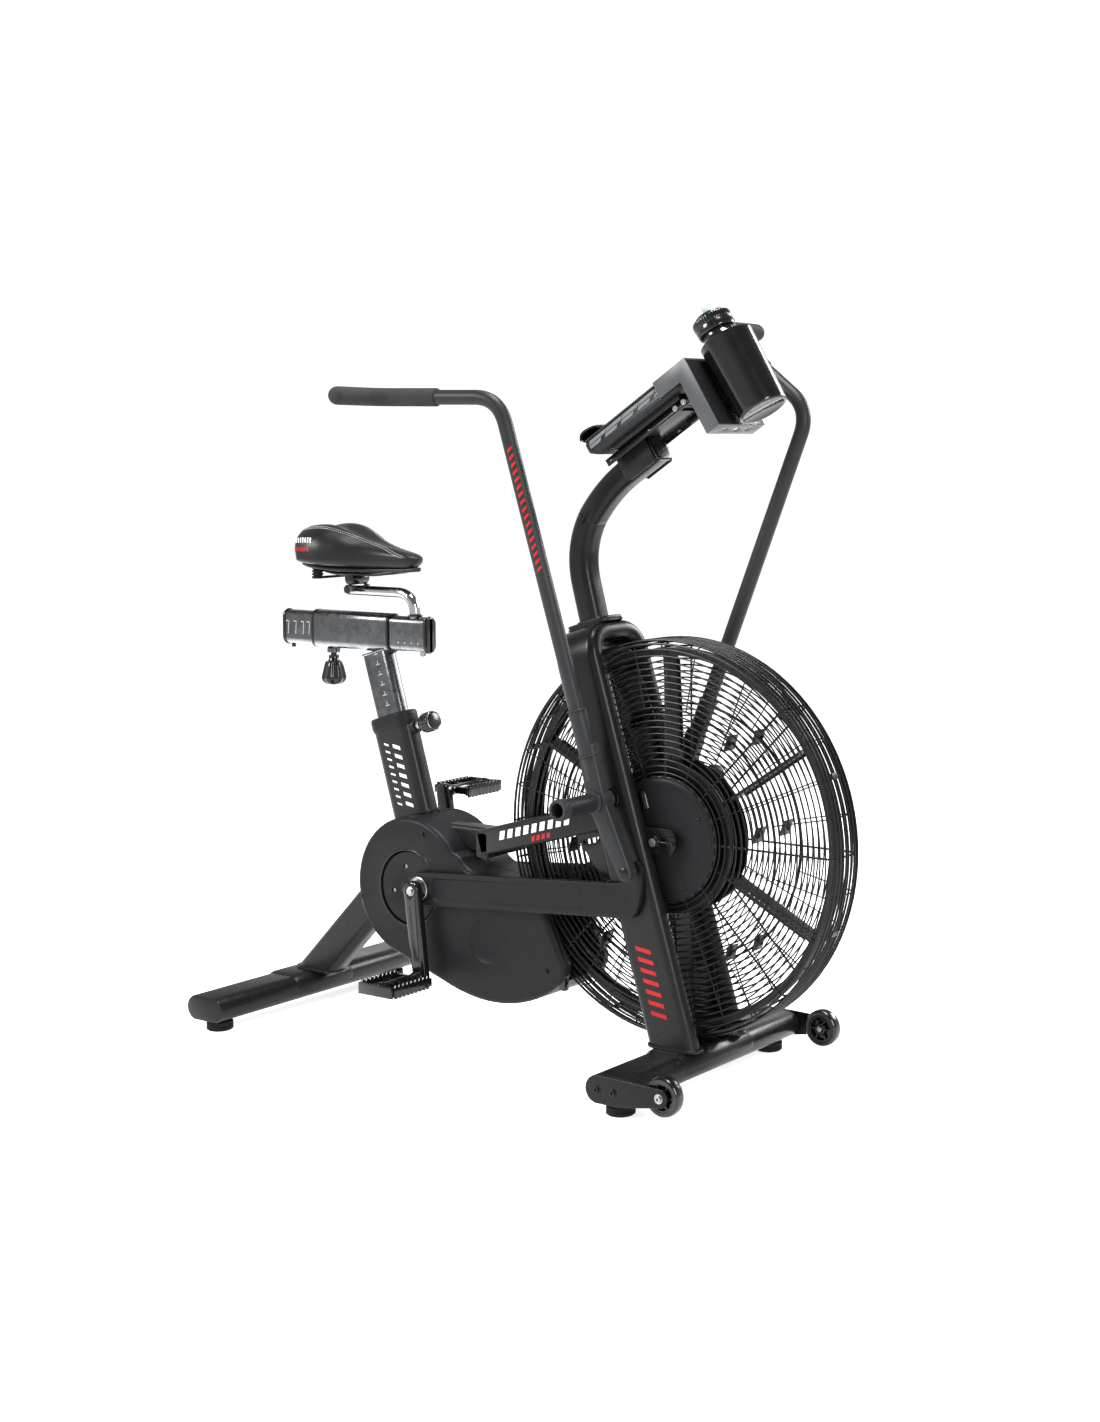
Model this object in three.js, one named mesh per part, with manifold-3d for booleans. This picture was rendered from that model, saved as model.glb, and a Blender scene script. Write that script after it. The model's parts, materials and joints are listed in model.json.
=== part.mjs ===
// Air bike: an exercise bike whose cranks and swinging handles drive a caged fan.
// Millimetres. +X is forward, towards the fan, +Y is the rider's left, and +Z is up.
// Inside the bike group x = 0 is the crank axis and z = 0 is the floor.
import * as THREE from 'three';
import { mergeVertices } from 'three/addons/utils/BufferGeometryUtils.js';
import Module from 'manifold-3d';

const wasm = await Module();
wasm.setup();

// ---- driving dimensions ----

const GAP = 0.3;
// Radial room of a turning fit, more than GAP because round pieces are faceted.
const BEARING_ROOM = 0.8;
const CENTRE_X = 289.75;

const CRANK = { x: 0, z: 298 };
const THROW = 42;
const PHASE = THREE.MathUtils.degToRad(7);
const CRANK_LENGTH = 170;
const PIVOT = { x: 528, z: 530 };
const LEVER = 141;
const LEVER_ANGLE = THREE.MathUtils.degToRad(-63);
const SWING = THREE.MathUtils.degToRad(34.6);
const HANDLE_LEAN = THREE.MathUtils.degToRad(104.5);

const FAN = { x: 616, z: 455 };
const CAGE_RADIUS = 372;
const CAGE_HALF = 47;
const WIRE = 4;
const FAN_RING = 352;
const BLADES = 6;
const FIRST_BLADE = 33;
const DRUM = 141;
const SPOKES = 16;
const JACK = { x: 206, z: 219 };

const SHROUD_FACE = 72;
const SHROUD_RADIUS = 141;
const SKIN = 3;

const STABILISER = { width: 100, height: 50, floor: 24 };
const FRONT = { x: 660, half: 270 };
const REAR = { x: -355, half: 288 };
const WHEEL = { x: 772, z: 55, radius: 35.6, y: 258 };

const LEAN = 0.312;
const LEG = { y: 71, width: 100, depth: 38, foot: 78.5, x: 658 };
const ARCH_TOP = 822;
const ARCH_BEND = 52;

const SEAT_LEAN = 0.307;
const SEAT = { x: -100, z: 612 };
const SLIDER = { z: 799, rear: -408, front: 0, width: 31, height: 72, corner: 14 };
const SLEEVE = { rear: -317, front: -103, width: 38, top: 839, bottom: 759 };
const POST = { width: 74, thick: 33, corner: 14 };

const CONSOLE = { x: 448, z: 1190, slope: THREE.MathUtils.degToRad(32.5), half: 70, length: 245 };

// ---- colours ----

const paint = (name, color, roughness, metalness = 0) => {
  const material = new THREE.MeshStandardMaterial({ color, roughness, metalness });
  material.name = name;
  return material;
};
const frameBlack = paint('frame_black', 0x17191b, 0.45, 0.3);
const tubeBlack = paint('tube_black', 0x222426, 0.4, 0.3);
const shroudBlack = paint('shroud_black', 0x15171a, 0.6);
const glossBlack = paint('gloss_black', 0x0c0d0e, 0.2);
const rubber = paint('rubber', 0x131313, 0.85);
const foam = paint('foam', 0x2a2c2d, 0.8);
const vinyl = paint('vinyl', 0x141414, 0.5);
const zinc = paint('zinc', 0xa9adb0, 0.35, 0.9);
const chrome = paint('chrome', 0xd0d3d6, 0.12, 1);
const steel = paint('steel', 0x8d9194, 0.35, 0.9);
const wireBlack = paint('wire_black', 0x101214, 0.4, 0.2);
const bladeBlack = paint('blade_black', 0x1b1e20, 0.5, 0.3);
const belting = paint('belting', 0x0d0d0d, 0.8);

// ---- solids ----

const toSolid = (geometry) => {
  const plain = geometry.clone();
  plain.deleteAttribute('normal');
  plain.deleteAttribute('uv');
  const merged = mergeVertices(plain, 1e-3);
  return new wasm.Manifold(
    new wasm.Mesh({
      numProp: 3,
      vertProperties: merged.attributes.position.array,
      triVerts: new Uint32Array(merged.index.array),
    }),
  );
};

const toGeometry = (solid) => {
  const mesh = solid.getMesh();
  const geometry = new THREE.BufferGeometry();
  geometry.setAttribute('position', new THREE.BufferAttribute(mesh.vertProperties, 3));
  geometry.setIndex(new THREE.BufferAttribute(mesh.triVerts, 1));
  const flat = geometry.toNonIndexed();
  flat.computeVertexNormals();
  return flat;
};

const join = (...pieces) => toGeometry(pieces.map(toSolid).reduce((a, b) => a.add(b)));
const cut = (piece, ...tools) =>
  toGeometry(tools.map(toSolid).reduce((a, b) => a.subtract(b), toSolid(piece)));
const common = (a, b) => toGeometry(toSolid(a).intersect(toSolid(b)));

const box = (x0, x1, y0, y1, z0, z1) => {
  const geometry = new THREE.BoxGeometry(x1 - x0, y1 - y0, z1 - z0);
  return geometry.translate((x0 + x1) / 2, (y0 + y1) / 2, (z0 + z1) / 2);
};

// A round bar between two points, or a cone when it has a second radius.
const bar = (from, to, radius, sides = 16, endRadius = radius) => {
  const a = new THREE.Vector3(...from);
  const along = new THREE.Vector3(...to).sub(a);
  const geometry = new THREE.CylinderGeometry(endRadius, radius, along.length(), sides);
  geometry.translate(0, along.length() / 2, 0);
  const turn = new THREE.Quaternion().setFromUnitVectors(
    new THREE.Vector3(0, 1, 0),
    along.clone().normalize(),
  );
  return geometry.applyQuaternion(turn).translate(a.x, a.y, a.z);
};

// A disc or drum about a crosswise axis through (x, z), from y0 to y1.
const drum = (x, z, radius, y0, y1, sides = 24) => bar([x, y0, z], [x, y1, z], radius, sides);

// A ring of square section about the crosswise axis through (x, z).
const ring = (x, z, inner, outer, y0, y1, sides = 28) => {
  const profile = [
    [inner, y0],
    [outer, y0],
    [outer, y1],
    [inner, y1],
    [inner, y0],
  ].map(([r, y]) => new THREE.Vector2(r, y));
  return new THREE.LatheGeometry(profile, sides).translate(x, 0, z);
};

// A turned piece: a profile of (radius, height) pairs from axis to axis, set at a point along a direction.
const turned = (profile, at, direction, sides = 16) => {
  const geometry = new THREE.LatheGeometry(
    profile.map(([r, h]) => new THREE.Vector2(r, h)),
    sides,
  );
  const turn = new THREE.Quaternion().setFromUnitVectors(
    new THREE.Vector3(0, 1, 0),
    new THREE.Vector3(...direction).normalize(),
  );
  return geometry.applyQuaternion(turn).translate(...at);
};

// A side-view outline in (x, z) made solid from y0 to y1.
const plate = (shape, y0, y1, curveSegments = 10) => {
  const geometry = new THREE.ExtrudeGeometry(shape, { depth: y1 - y0, bevelEnabled: false, curveSegments });
  return geometry.rotateX(Math.PI / 2).translate(0, y1, 0);
};

const outline = (...points) => new THREE.Shape(points.map(([x, z]) => new THREE.Vector2(x, z)));

// A racetrack or rounded rectangle as a list of section points.
const flatOval = (width, height, radius = Math.min(width, height) / 2, steps = 2) => {
  const points = [];
  [
    [1, 1, 0],
    [-1, 1, 1],
    [-1, -1, 2],
    [1, -1, 3],
  ].forEach(([sx, sy, quarter]) => {
    for (let i = 0; i <= steps; i += 1) {
      const angle = ((quarter + i / steps) * Math.PI) / 2;
      const x = sx * (width / 2 - radius) + radius * Math.cos(angle);
      const y = sy * (height / 2 - radius) + radius * Math.sin(angle);
      points.push(new THREE.Vector2(x, y));
    }
  });
  return points.filter((p, i) => p.distanceTo(points[(i + 1) % points.length]) > 1e-3);
};

const circle = (radius, sides) =>
  Array.from({ length: sides }, (_, i) => {
    const angle = (i / sides) * 2 * Math.PI;
    return new THREE.Vector2(radius * Math.cos(angle), radius * Math.sin(angle));
  });

// A closed solid through rings of points that all hold the same number of points.
const loft = (rings) => {
  const count = rings[0].length;
  const positions = [];
  const index = [];
  rings.forEach((points) => points.forEach((p) => positions.push(p.x, p.y, p.z)));
  for (let r = 0; r < rings.length - 1; r += 1) {
    for (let i = 0; i < count; i += 1) {
      const a = r * count + i;
      const b = r * count + ((i + 1) % count);
      index.push(a, b, b + count, a, b + count, a + count);
    }
  }
  [0, rings.length - 1].forEach((r) => {
    const middle = rings[r].reduce((sum, p) => sum.add(p), new THREE.Vector3()).divideScalar(count);
    const centre = positions.length / 3;
    positions.push(middle.x, middle.y, middle.z);
    for (let i = 0; i < count; i += 1) {
      const a = r * count + i;
      const b = r * count + ((i + 1) % count);
      index.push(...(r === 0 ? [b, a, centre] : [a, b, centre]));
    }
  });
  const geometry = new THREE.BufferGeometry();
  geometry.setAttribute('position', new THREE.Float32BufferAttribute(positions, 3));
  geometry.setIndex(index);
  if (toSolid(geometry).volume() < 0) {
    for (let i = 0; i < index.length; i += 3) [index[i], index[i + 1]] = [index[i + 1], index[i]];
    geometry.setIndex(index);
  }
  return toGeometry(toSolid(geometry));
};

// A path through corner points, each corner rounded off over a given reach.
const bentPath = (corners, reach, steps = 6) => {
  const points = corners.map((c) => new THREE.Vector3(...c));
  const path = [points[0]];
  for (let i = 1; i < points.length - 1; i += 1) {
    const towards = (other) => {
      const way = other.clone().sub(points[i]).normalize();
      return way.multiplyScalar(reach[i - 1]).add(points[i]);
    };
    const bend = new THREE.QuadraticBezierCurve3(towards(points[i - 1]), points[i], towards(points[i + 1]));
    path.push(...bend.getPoints(steps));
  }
  path.push(points[points.length - 1]);
  return path;
};

// A section carried along a path without twist, its first axis starting along a given direction.
const sweep = (path, section, firstAxis) => {
  let across = new THREE.Vector3(...firstAxis);
  const rings = path.map((point, i) => {
    const before = path[Math.max(i - 1, 0)];
    const after = path[Math.min(i + 1, path.length - 1)];
    const arriving = point.clone().sub(before).normalize();
    const leaving = after.clone().sub(point).normalize();
    const tangent = arriving.add(leaving).normalize();
    across = across.clone().addScaledVector(tangent, -across.dot(tangent)).normalize();
    const up = tangent.clone().cross(across);
    const size = Array.isArray(section[0]) ? section[i] : section;
    return size.map((s) => point.clone().addScaledVector(across, s.x).addScaledVector(up, s.y));
  });
  return loft(rings);
};

const mirrorY = (geometry) => {
  const flipped = geometry.index ? geometry.toNonIndexed() : geometry.clone();
  flipped.scale(1, -1, 1);
  const p = flipped.attributes.position;
  for (let i = 0; i < p.count; i += 3) {
    const [x, y, z] = [p.getX(i), p.getY(i), p.getZ(i)];
    p.setXYZ(i, p.getX(i + 1), p.getY(i + 1), p.getZ(i + 1));
    p.setXYZ(i + 1, x, y, z);
  }
  flipped.computeVertexNormals();
  return flipped;
};

// ---- the assembly ----

const bike = new THREE.Group();
bike.position.x = -CENTRE_X;

const add = (name, geometry, material) => {
  const mesh = new THREE.Mesh(geometry, material);
  mesh.name = name;
  bike.add(mesh);
  return mesh;
};

// The same piece on both sides: the builder makes it for the right, at negative y.
const addPair = (name, build, material) => {
  add(`${name}_right`, build(), material);
  add(`${name}_left`, mirrorY(build()), material);
};

// ---- frame ----

const stabiliser = (x, half) => {
  const z = STABILISER.floor + STABILISER.height / 2;
  const section = flatOval(STABILISER.width, STABILISER.height, 25, 4);
  return sweep([new THREE.Vector3(x, -half, z), new THREE.Vector3(x, half, z)], section, [1, 0, 0]);
};

// A raised saddle welded round the middle of a stabiliser, where the legs stand.
const saddlePlate = (x, half) => {
  const z = STABILISER.floor + STABILISER.height / 2;
  const section = flatOval(STABILISER.width + 7, STABILISER.height + 8, 27);
  const sleeve = sweep([new THREE.Vector3(x, -half, z), new THREE.Vector3(x, half, z)], section, [1, 0, 0]);
  return common(sleeve, box(x - 90, x + 90, -half, half, z - 8, 120));
};

add('front_stabiliser', join(stabiliser(FRONT.x, FRONT.half), saddlePlate(FRONT.x, 108)), frameBlack);
add('rear_stabiliser', join(stabiliser(REAR.x, REAR.half), saddlePlate(REAR.x, 78)), frameBlack);

const legX = (z) => LEG.x - LEAN * (z - 80);
const legAxis = new THREE.Vector3(-LEAN, 0, 1).normalize();
const legFront = new THREE.Vector3(legAxis.z, 0, -legAxis.x);

const forkPath = () => {
  const at = (y, z) => [legX(z), y, z];
  const corners = [
    at(-LEG.y, 50),
    at(-LEG.y, ARCH_TOP),
    at(LEG.y, ARCH_TOP),
    at(LEG.y, 50),
  ];
  return bentPath(corners, [ARCH_BEND, ARCH_BEND], 6);
};

const frontFork = () => {
  const tube = sweep(forkPath(), flatOval(LEG.width, LEG.depth, 17), legFront.toArray());
  const standing = common(tube, box(300, 900, -150, 150, LEG.foot, 1000));
  const studHoles = drum(PIVOT.x, PIVOT.z, 12.5, -150, 150, 12);
  return cut(standing, studHoles);
};
add('front_fork', frontFork(), frameBlack);

const seatAxis = new THREE.Vector3(-SEAT_LEAN, 0, 1).normalize();
const seatX = (z) => SEAT.x + (SEAT.z - z) * SEAT_LEAN;
const seatPoint = (z) => new THREE.Vector3(seatX(z), 0, z);

const seatTube = () => {
  const outer = sweep([seatPoint(290), seatPoint(627)], flatOval(100, 50, 22), [1, 0, 0]);
  const room = flatOval(POST.width + 3, POST.thick + 3, POST.corner + 1);
  const bore = sweep([seatPoint(345), seatPoint(650)], room, [1, 0, 0]);
  const collar = sweep([seatPoint(606), seatPoint(632)], flatOval(108, 58, 25), [1, 0, 0]);
  const hole = bar([seatX(596), 0, 596], [seatX(596) + 90, 0, 596 + 90 * SEAT_LEAN], 8.5, 12);
  const shell = drum(CRANK.x, CRANK.z, 30 + GAP, -60, 60, 24);
  return cut(join(outer, collar), bore, hole, shell);
};
add('seat_tube', seatTube(), frameBlack);

const REAR_LEG_X = -397;
const rearLeg = () => {
  const path = [new THREE.Vector3(REAR_LEG_X + 40, 0, 40), new THREE.Vector3(REAR_LEG_X + 350, 0, 350)];
  const tube = sweep(path, flatOval(78, 50, 18), [0.7, 0, -0.7]);
  const standing = common(tube, box(-500, 200, -60, 60, 78.5, 600));
  const seat = sweep([seatPoint(200), seatPoint(700)], flatOval(100 + 2 * GAP, 60, 22), [1, 0, 0]);
  const front = box(-20, 400, -60, 60, 0, 600);
  return cut(standing, seat, front, drum(CRANK.x, CRANK.z, 30 + GAP, -60, 60, 24));
};
add('rear_leg', rearLeg(), frameBlack);

// The crank bearing shell, with a web that carries the jackshaft's bearing tube.
const crankShell = () => {
  const shell = drum(CRANK.x, CRANK.z, 30, -34, 34, 24);
  const bearing = drum(JACK.x, JACK.z, 18, -26, 26, 20);
  const web = plate(
    outline([CRANK.x, CRANK.z - 20], [JACK.x, JACK.z - 14], [JACK.x, JACK.z + 14], [CRANK.x, CRANK.z + 12]),
    -6,
    6,
  );
  return cut(
    join(shell, bearing, web),
    drum(CRANK.x, CRANK.z, 10 + GAP, -60, 60, 16),
    drum(JACK.x, JACK.z, 8 + GAP, -60, 60, 16),
  );
};
add('crank_shell', crankShell(), frameBlack);

// A stub from the seat tube, a cross tube, and two side beams that pass outside the cage to the fork.
const BEAM = { rear: 184, z: 406, slope: 0.277, inner: 53, outer: 78, height: 52 };
const beamZ = (x) => BEAM.z + (x - BEAM.rear) * BEAM.slope;
const sideBeam = () => {
  const h = BEAM.height / 2;
  const forkEdge = legX(beamZ(480)) - LEG.width / 2 / legAxis.z;
  const side = outline(
    [BEAM.rear, beamZ(BEAM.rear) - h],
    [forkEdge + 30, beamZ(forkEdge + 30) - h],
    [forkEdge + 30, beamZ(forkEdge + 30) + h],
    [BEAM.rear, beamZ(BEAM.rear) + h],
  );
  const gusset = outline([425, beamZ(425) - h + 2], [455, 415], [490, 372], [560, 372], [530, 470]);
  const slot = plate(outline([446, 436], [486, 447], [486, 455], [446, 444]), -90, -40);
  return cut(join(plate(side, -BEAM.outer, -BEAM.inner), plate(gusset, -71, -61)), slot);
};
const mainBeam = () => {
  const cross = box(BEAM.rear, BEAM.rear + 30, -BEAM.outer, BEAM.outer, BEAM.z - 26, BEAM.z + 26);
  const stub = box(-60, BEAM.rear + 10, -22, 22, BEAM.z - 30, BEAM.z + 20);
  const sides = [sideBeam(), mirrorY(sideBeam())];
  const seat = sweep([seatPoint(200), seatPoint(700)], flatOval(100 + 2 * GAP, 70, 22), [1, 0, 0]);
  const rear = box(-400, seatX(BEAM.z), -60, 60, 200, 700);
  const room = flatOval(LEG.width + 2 * GAP, LEG.depth + 2 * GAP, 17);
  const fork = sweep(forkPath(), room, legFront.toArray());
  const beyond = plate(outline([legX(300), 300], [900, 300], [900, 700], [legX(700), 700]), -120, 120);
  return cut(join(stub, cross, ...sides), seat, rear, fork, beyond);
};
add('main_beam', mainBeam(), frameBlack);

// The neck rises from the arch, swings back and then runs up parallel to the console.
const consolePoint = (s, n, y = 0) => {
  const { x, z, slope } = CONSOLE;
  return [x + s * Math.cos(slope) - n * Math.sin(slope), y, z + s * Math.sin(slope) + n * Math.cos(slope)];
};
const NECK_DROP = -78;
const neck = () => {
  const end = consolePoint(97, NECK_DROP);
  const turn = consolePoint(-50, NECK_DROP);
  const onArch = (up) => [legX(ARCH_TOP) + legAxis.x * up, 0, ARCH_TOP + legAxis.z * up];
  const path = bentPath([onArch(24), [380, 0, 990], turn, end], [75, 70], 8);
  const tube = sweep(path, flatOval(50, 50, 17), legFront.toArray());
  const pad = sweep(
    [19.5, 28].map((up) => new THREE.Vector3(...onArch(up))),
    flatOval(94, 64, 12),
    legFront.toArray(),
  );
  return join(tube, pad);
};
add('neck', neck(), frameBlack);
add('neck_cap', turned(
  [[0, 0], [23, 0], [23, 4], [18, 7], [0, 7]],
  consolePoint(97 + GAP, NECK_DROP),
  [Math.cos(CONSOLE.slope), 0, Math.sin(CONSOLE.slope)],
), glossBlack);

// ---- feet, wheels and the plates that carry them ----

const foot = (x, y) => {
  const pad = [[0, 0], [24, 0], [26.5, 2.5], [26.5, 17], [23, 20], [8, 20], [8, STABILISER.floor - GAP]];
  return turned([...pad, [0, STABILISER.floor - GAP]], [x, y, 0], [0, 0, 1], 14);
};
[
  ['front', FRONT.x, 237],
  ['rear', REAR.x, 247],
].forEach(([end, x, y]) => addPair(`${end}_foot`, () => foot(x, -y), rubber));

const NOSE = 17;
const endPlate = () => {
  const middle = STABILISER.floor + STABILISER.height / 2;
  const rear = FRONT.x - 25;
  const shape = new THREE.Shape();
  shape.absarc(rear, middle, 25, Math.PI / 2, (3 * Math.PI) / 2);
  shape.lineTo(FRONT.x + 25, middle - 25);
  shape.absarc(WHEEL.x, WHEEL.z, NOSE, -Math.PI / 2, Math.PI / 2);
  shape.lineTo(FRONT.x + 25, middle + 25);
  const face = plate(shape, -276, -FRONT.half - GAP, 8);
  const axle = drum(WHEEL.x, WHEEL.z, 5, -279, -WHEEL.y + 15, 12);
  const head = drum(WHEEL.x, WHEEL.z, 8, -280, -275, 12);
  return join(face, axle, head);
};
addPair('end_plate', endPlate, frameBlack);

const wheel = () => {
  const y = -WHEEL.y;
  const hub = [[5 + BEARING_ROOM, -11], [12, -11], [12, -6]];
  const tread = [[25, -6], [25, -12], [32, -12], [WHEEL.radius, -8]];
  const half = [...hub, ...tread];
  const profile = [...half, ...half.slice().reverse().map(([r, h]) => [r, -h]), half[0]];
  return turned(profile, [WHEEL.x, y, WHEEL.z], [0, 1, 0], 16);
};
addPair('wheel', wheel, glossBlack);

// ---- drive covers ----

// Round the crank, then a long belly under the jackshaft, up its front end and back over the top.
const BELLY = 95.5;
const shroudShape = (inset) => {
  const r = SHROUD_RADIUS - inset;
  const low = BELLY + inset;
  const shape = new THREE.Shape();
  shape.absarc(CRANK.x, CRANK.z, r, 0.62, Math.PI * 1.42);
  shape.lineTo(95, 117 + inset);
  shape.quadraticCurveTo(158, low, 212, low);
  shape.quadraticCurveTo(280, low, 337 - inset * 0.5, 124 + inset);
  shape.quadraticCurveTo(372 - inset, 141.5 + inset, 397 - inset, 172 + inset * 0.5);
  shape.lineTo(399 - inset, 193);
  shape.quadraticCurveTo(362 - inset, 262 - inset, 338 - inset, 330 - inset);
  shape.lineTo(185, 345 - inset);
  shape.quadraticCurveTo(150, 345 - inset, 134 - inset, 372 - inset);
  return shape;
};

// The casing is a thin shell. Forward of the jackshaft it narrows to a slice outside the fan cage.
const SLICE = CAGE_HALF + 5;
const shroud = () => {
  const cageClear = drum(FAN.x, FAN.z, CAGE_RADIUS + 6, -SLICE, 10, 36);
  const outer = cut(plate(shroudShape(0), -SHROUD_FACE, -GAP / 2, 8), cageClear);
  const roomClear = drum(FAN.x, FAN.z, CAGE_RADIUS + 6 + SKIN, -SLICE - SKIN, 10, 36);
  const room = cut(plate(shroudShape(SKIN), -SHROUD_FACE + SKIN, 10, 8), roomClear);
  const opening = drum(CRANK.x, CRANK.z, 75, -100, -50, 28);
  const seat = sweep([seatPoint(340), seatPoint(700)], flatOval(102, 52, 22), [1, 0, 0]);
  const leg = sweep(
    [new THREE.Vector3(REAR_LEG_X + 40, 0, 40), new THREE.Vector3(REAR_LEG_X + 350, 0, 350)],
    flatOval(80, 52, 18),
    [0.7, 0, -0.7],
  );
  const stub = box(0, 400, -24, 24, BEAM.z - 32, BEAM.z + 22);
  return cut(outer, room, opening, seat, leg, stub);
};

// ---- crank, belts and jackshaft ----

const pinAt = (side) => [
  CRANK.x + side * THROW * Math.cos(PHASE),
  CRANK.z + side * THROW * Math.sin(PHASE),
];
const pedalAt = (side) => {
  const [x, z] = pinAt(side);
  return [x + side * CRANK_LENGTH * Math.sin(PHASE), z - side * CRANK_LENGTH * Math.cos(PHASE)];
};

add('crank_axle', drum(CRANK.x, CRANK.z, 10, -63.7, 63.7, 14), steel);

const pulley = (x, z, radius, y0, y1, bore, sides) => {
  const rim = radius + 2;
  const mid = (y1 - y0) / 2;
  const profile = [[bore, -mid], [rim, -mid], [radius, -mid + 2]];
  const closed = [...profile, ...profile.slice().reverse().map(([r, h]) => [r, -h]), profile[0]];
  return turned(closed, [x, (y0 + y1) / 2, z], [0, 1, 0], sides);
};
const PULLEYS = { crank: 85, jackSmall: 22, jackLarge: 60, fan: 28 };
add('crank_pulley', pulley(CRANK.x, CRANK.z, PULLEYS.crank, -49, -36, 10 + GAP, 28), steel);

const jackshaft = () =>
  join(
    drum(JACK.x, JACK.z, 8, -52, 45, 12),
    pulley(JACK.x, JACK.z, PULLEYS.jackSmall, -49, -36, 7, 14),
    pulley(JACK.x, JACK.z, PULLEYS.jackLarge, 30.5, 41.5, 7, 22),
  );
add('jackshaft', jackshaft(), steel);

// The solid that fills a belt's loop round two pulleys, grown by an extra margin.
const beltPath = (a, radiusA, b, radiusB, extra, y0, y1) => {
  const angle = Math.atan2(b.z - a.z, b.x - a.x);
  const spread = Math.acos((radiusA - radiusB) / Math.hypot(b.x - a.x, b.z - a.z));
  const shape = new THREE.Shape();
  shape.absarc(a.x, a.z, radiusA + extra, angle + spread, angle - spread + 2 * Math.PI);
  shape.absarc(b.x, b.z, radiusB + extra, angle - spread, angle + spread);
  return plate(shape, y0, y1, 10);
};
const belt = (a, radiusA, b, radiusB, y0, y1) =>
  cut(beltPath(a, radiusA, b, radiusB, 4.5, y0, y1), beltPath(a, radiusA, b, radiusB, 1.5, y0 - 5, y1 + 5));
add('crank_belt', belt(CRANK, PULLEYS.crank, JACK, PULLEYS.jackSmall, -46.5, -38.5), belting);
add('shroud_right', shroud(), shroudBlack);
const fanBeltRoom = beltPath(JACK, PULLEYS.jackLarge, FAN, PULLEYS.fan, 12, 29, 43);
add('shroud_left', cut(mirrorY(shroud()), fanBeltRoom), shroudBlack);
add('fan_belt', belt(JACK, PULLEYS.jackLarge, FAN, PULLEYS.fan, 32.5, 39.5), belting);

// The crank disc turns in the cover's round opening and carries the eccentric pin.
const crankDisc = (side) => {
  const [x, z] = pinAt(side);
  const disc = drum(CRANK.x, CRANK.z, 72, 64, 70, 28);
  const hub = drum(CRANK.x, CRANK.z, 17, 69, 72.5, 16);
  const pin = drum(x, z, 11, 69, 96, 14);
  const holes = [96, 186, 276].map((degrees) => {
    const angle = PHASE + THREE.MathUtils.degToRad(degrees);
    return drum(CRANK.x + 43 * Math.cos(angle), CRANK.z + 43 * Math.sin(angle), 5, 50, 90, 8);
  });
  const centre = drum(CRANK.x, CRANK.z, 6, 68, 80, 8);
  return cut(join(disc, hub, pin), ...holes, centre);
};
add('crank_disc_right', mirrorY(crankDisc(1)), glossBlack);
add('crank_disc_left', crankDisc(-1), glossBlack);

const ARM = { inner: 96 + GAP, outer: 113 };
const crankArm = (side) => {
  const [px, pz] = pinAt(side);
  const [ex, ez] = pedalAt(side);
  const down = Math.atan2(ez - pz, ex - px);
  const shape = new THREE.Shape();
  shape.absarc(px, pz, 15, down + Math.PI / 2, down + (3 * Math.PI) / 2);
  shape.absarc(ex, ez, 14, down - Math.PI / 2, down + Math.PI / 2);
  const spindle = drum(ex, ez, 6, ARM.outer - 2, 232, 10);
  const flange = drum(ex, ez, 9, ARM.outer - 1, 117, 10);
  const bolt = drum(px, pz, 6, ARM.outer - 2, ARM.outer + 1.5, 6);
  return join(plate(shape, ARM.inner, ARM.outer, 6), spindle, flange, bolt);
};
add('crank_arm_right', mirrorY(crankArm(1)), glossBlack);
add('crank_arm_left', crankArm(-1), glossBlack);

// A cage pedal: a barrel on the spindle and a serrated frame with two cross plates.
const PEDAL = { inner: 118, outer: 234, length: 92, height: 26 };
const pedal = (side) => {
  const [x, z] = pedalAt(side);
  const [l, h] = [PEDAL.length / 2, PEDAL.height / 2];
  const frame = cut(
    box(x - l, x + l, PEDAL.inner + 10, PEDAL.outer, z - h, z + h),
    box(x - l + 7, x + l - 7, PEDAL.inner + 17, PEDAL.outer - 7, z - 30, z + 30),
  );
  const middle = box(x - l + 5, x + l - 5, 172, 180, z - h + 4, z + h - 4);
  const barrel = drum(x, z, 12, PEDAL.inner, PEDAL.outer + 1, 12);
  return cut(join(frame, middle, barrel), drum(x, z, 6 + BEARING_ROOM, 100, 233, 10));
};
add('pedal_right', mirrorY(pedal(1)), glossBlack);
add('pedal_left', pedal(-1), glossBlack);

// ---- connecting rods ----

const leverAt = (side) => {
  const angle = LEVER_ANGLE - (side > 0 ? 0 : SWING);
  return [PIVOT.x + LEVER * Math.cos(angle), PIVOT.z + LEVER * Math.sin(angle)];
};

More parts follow.
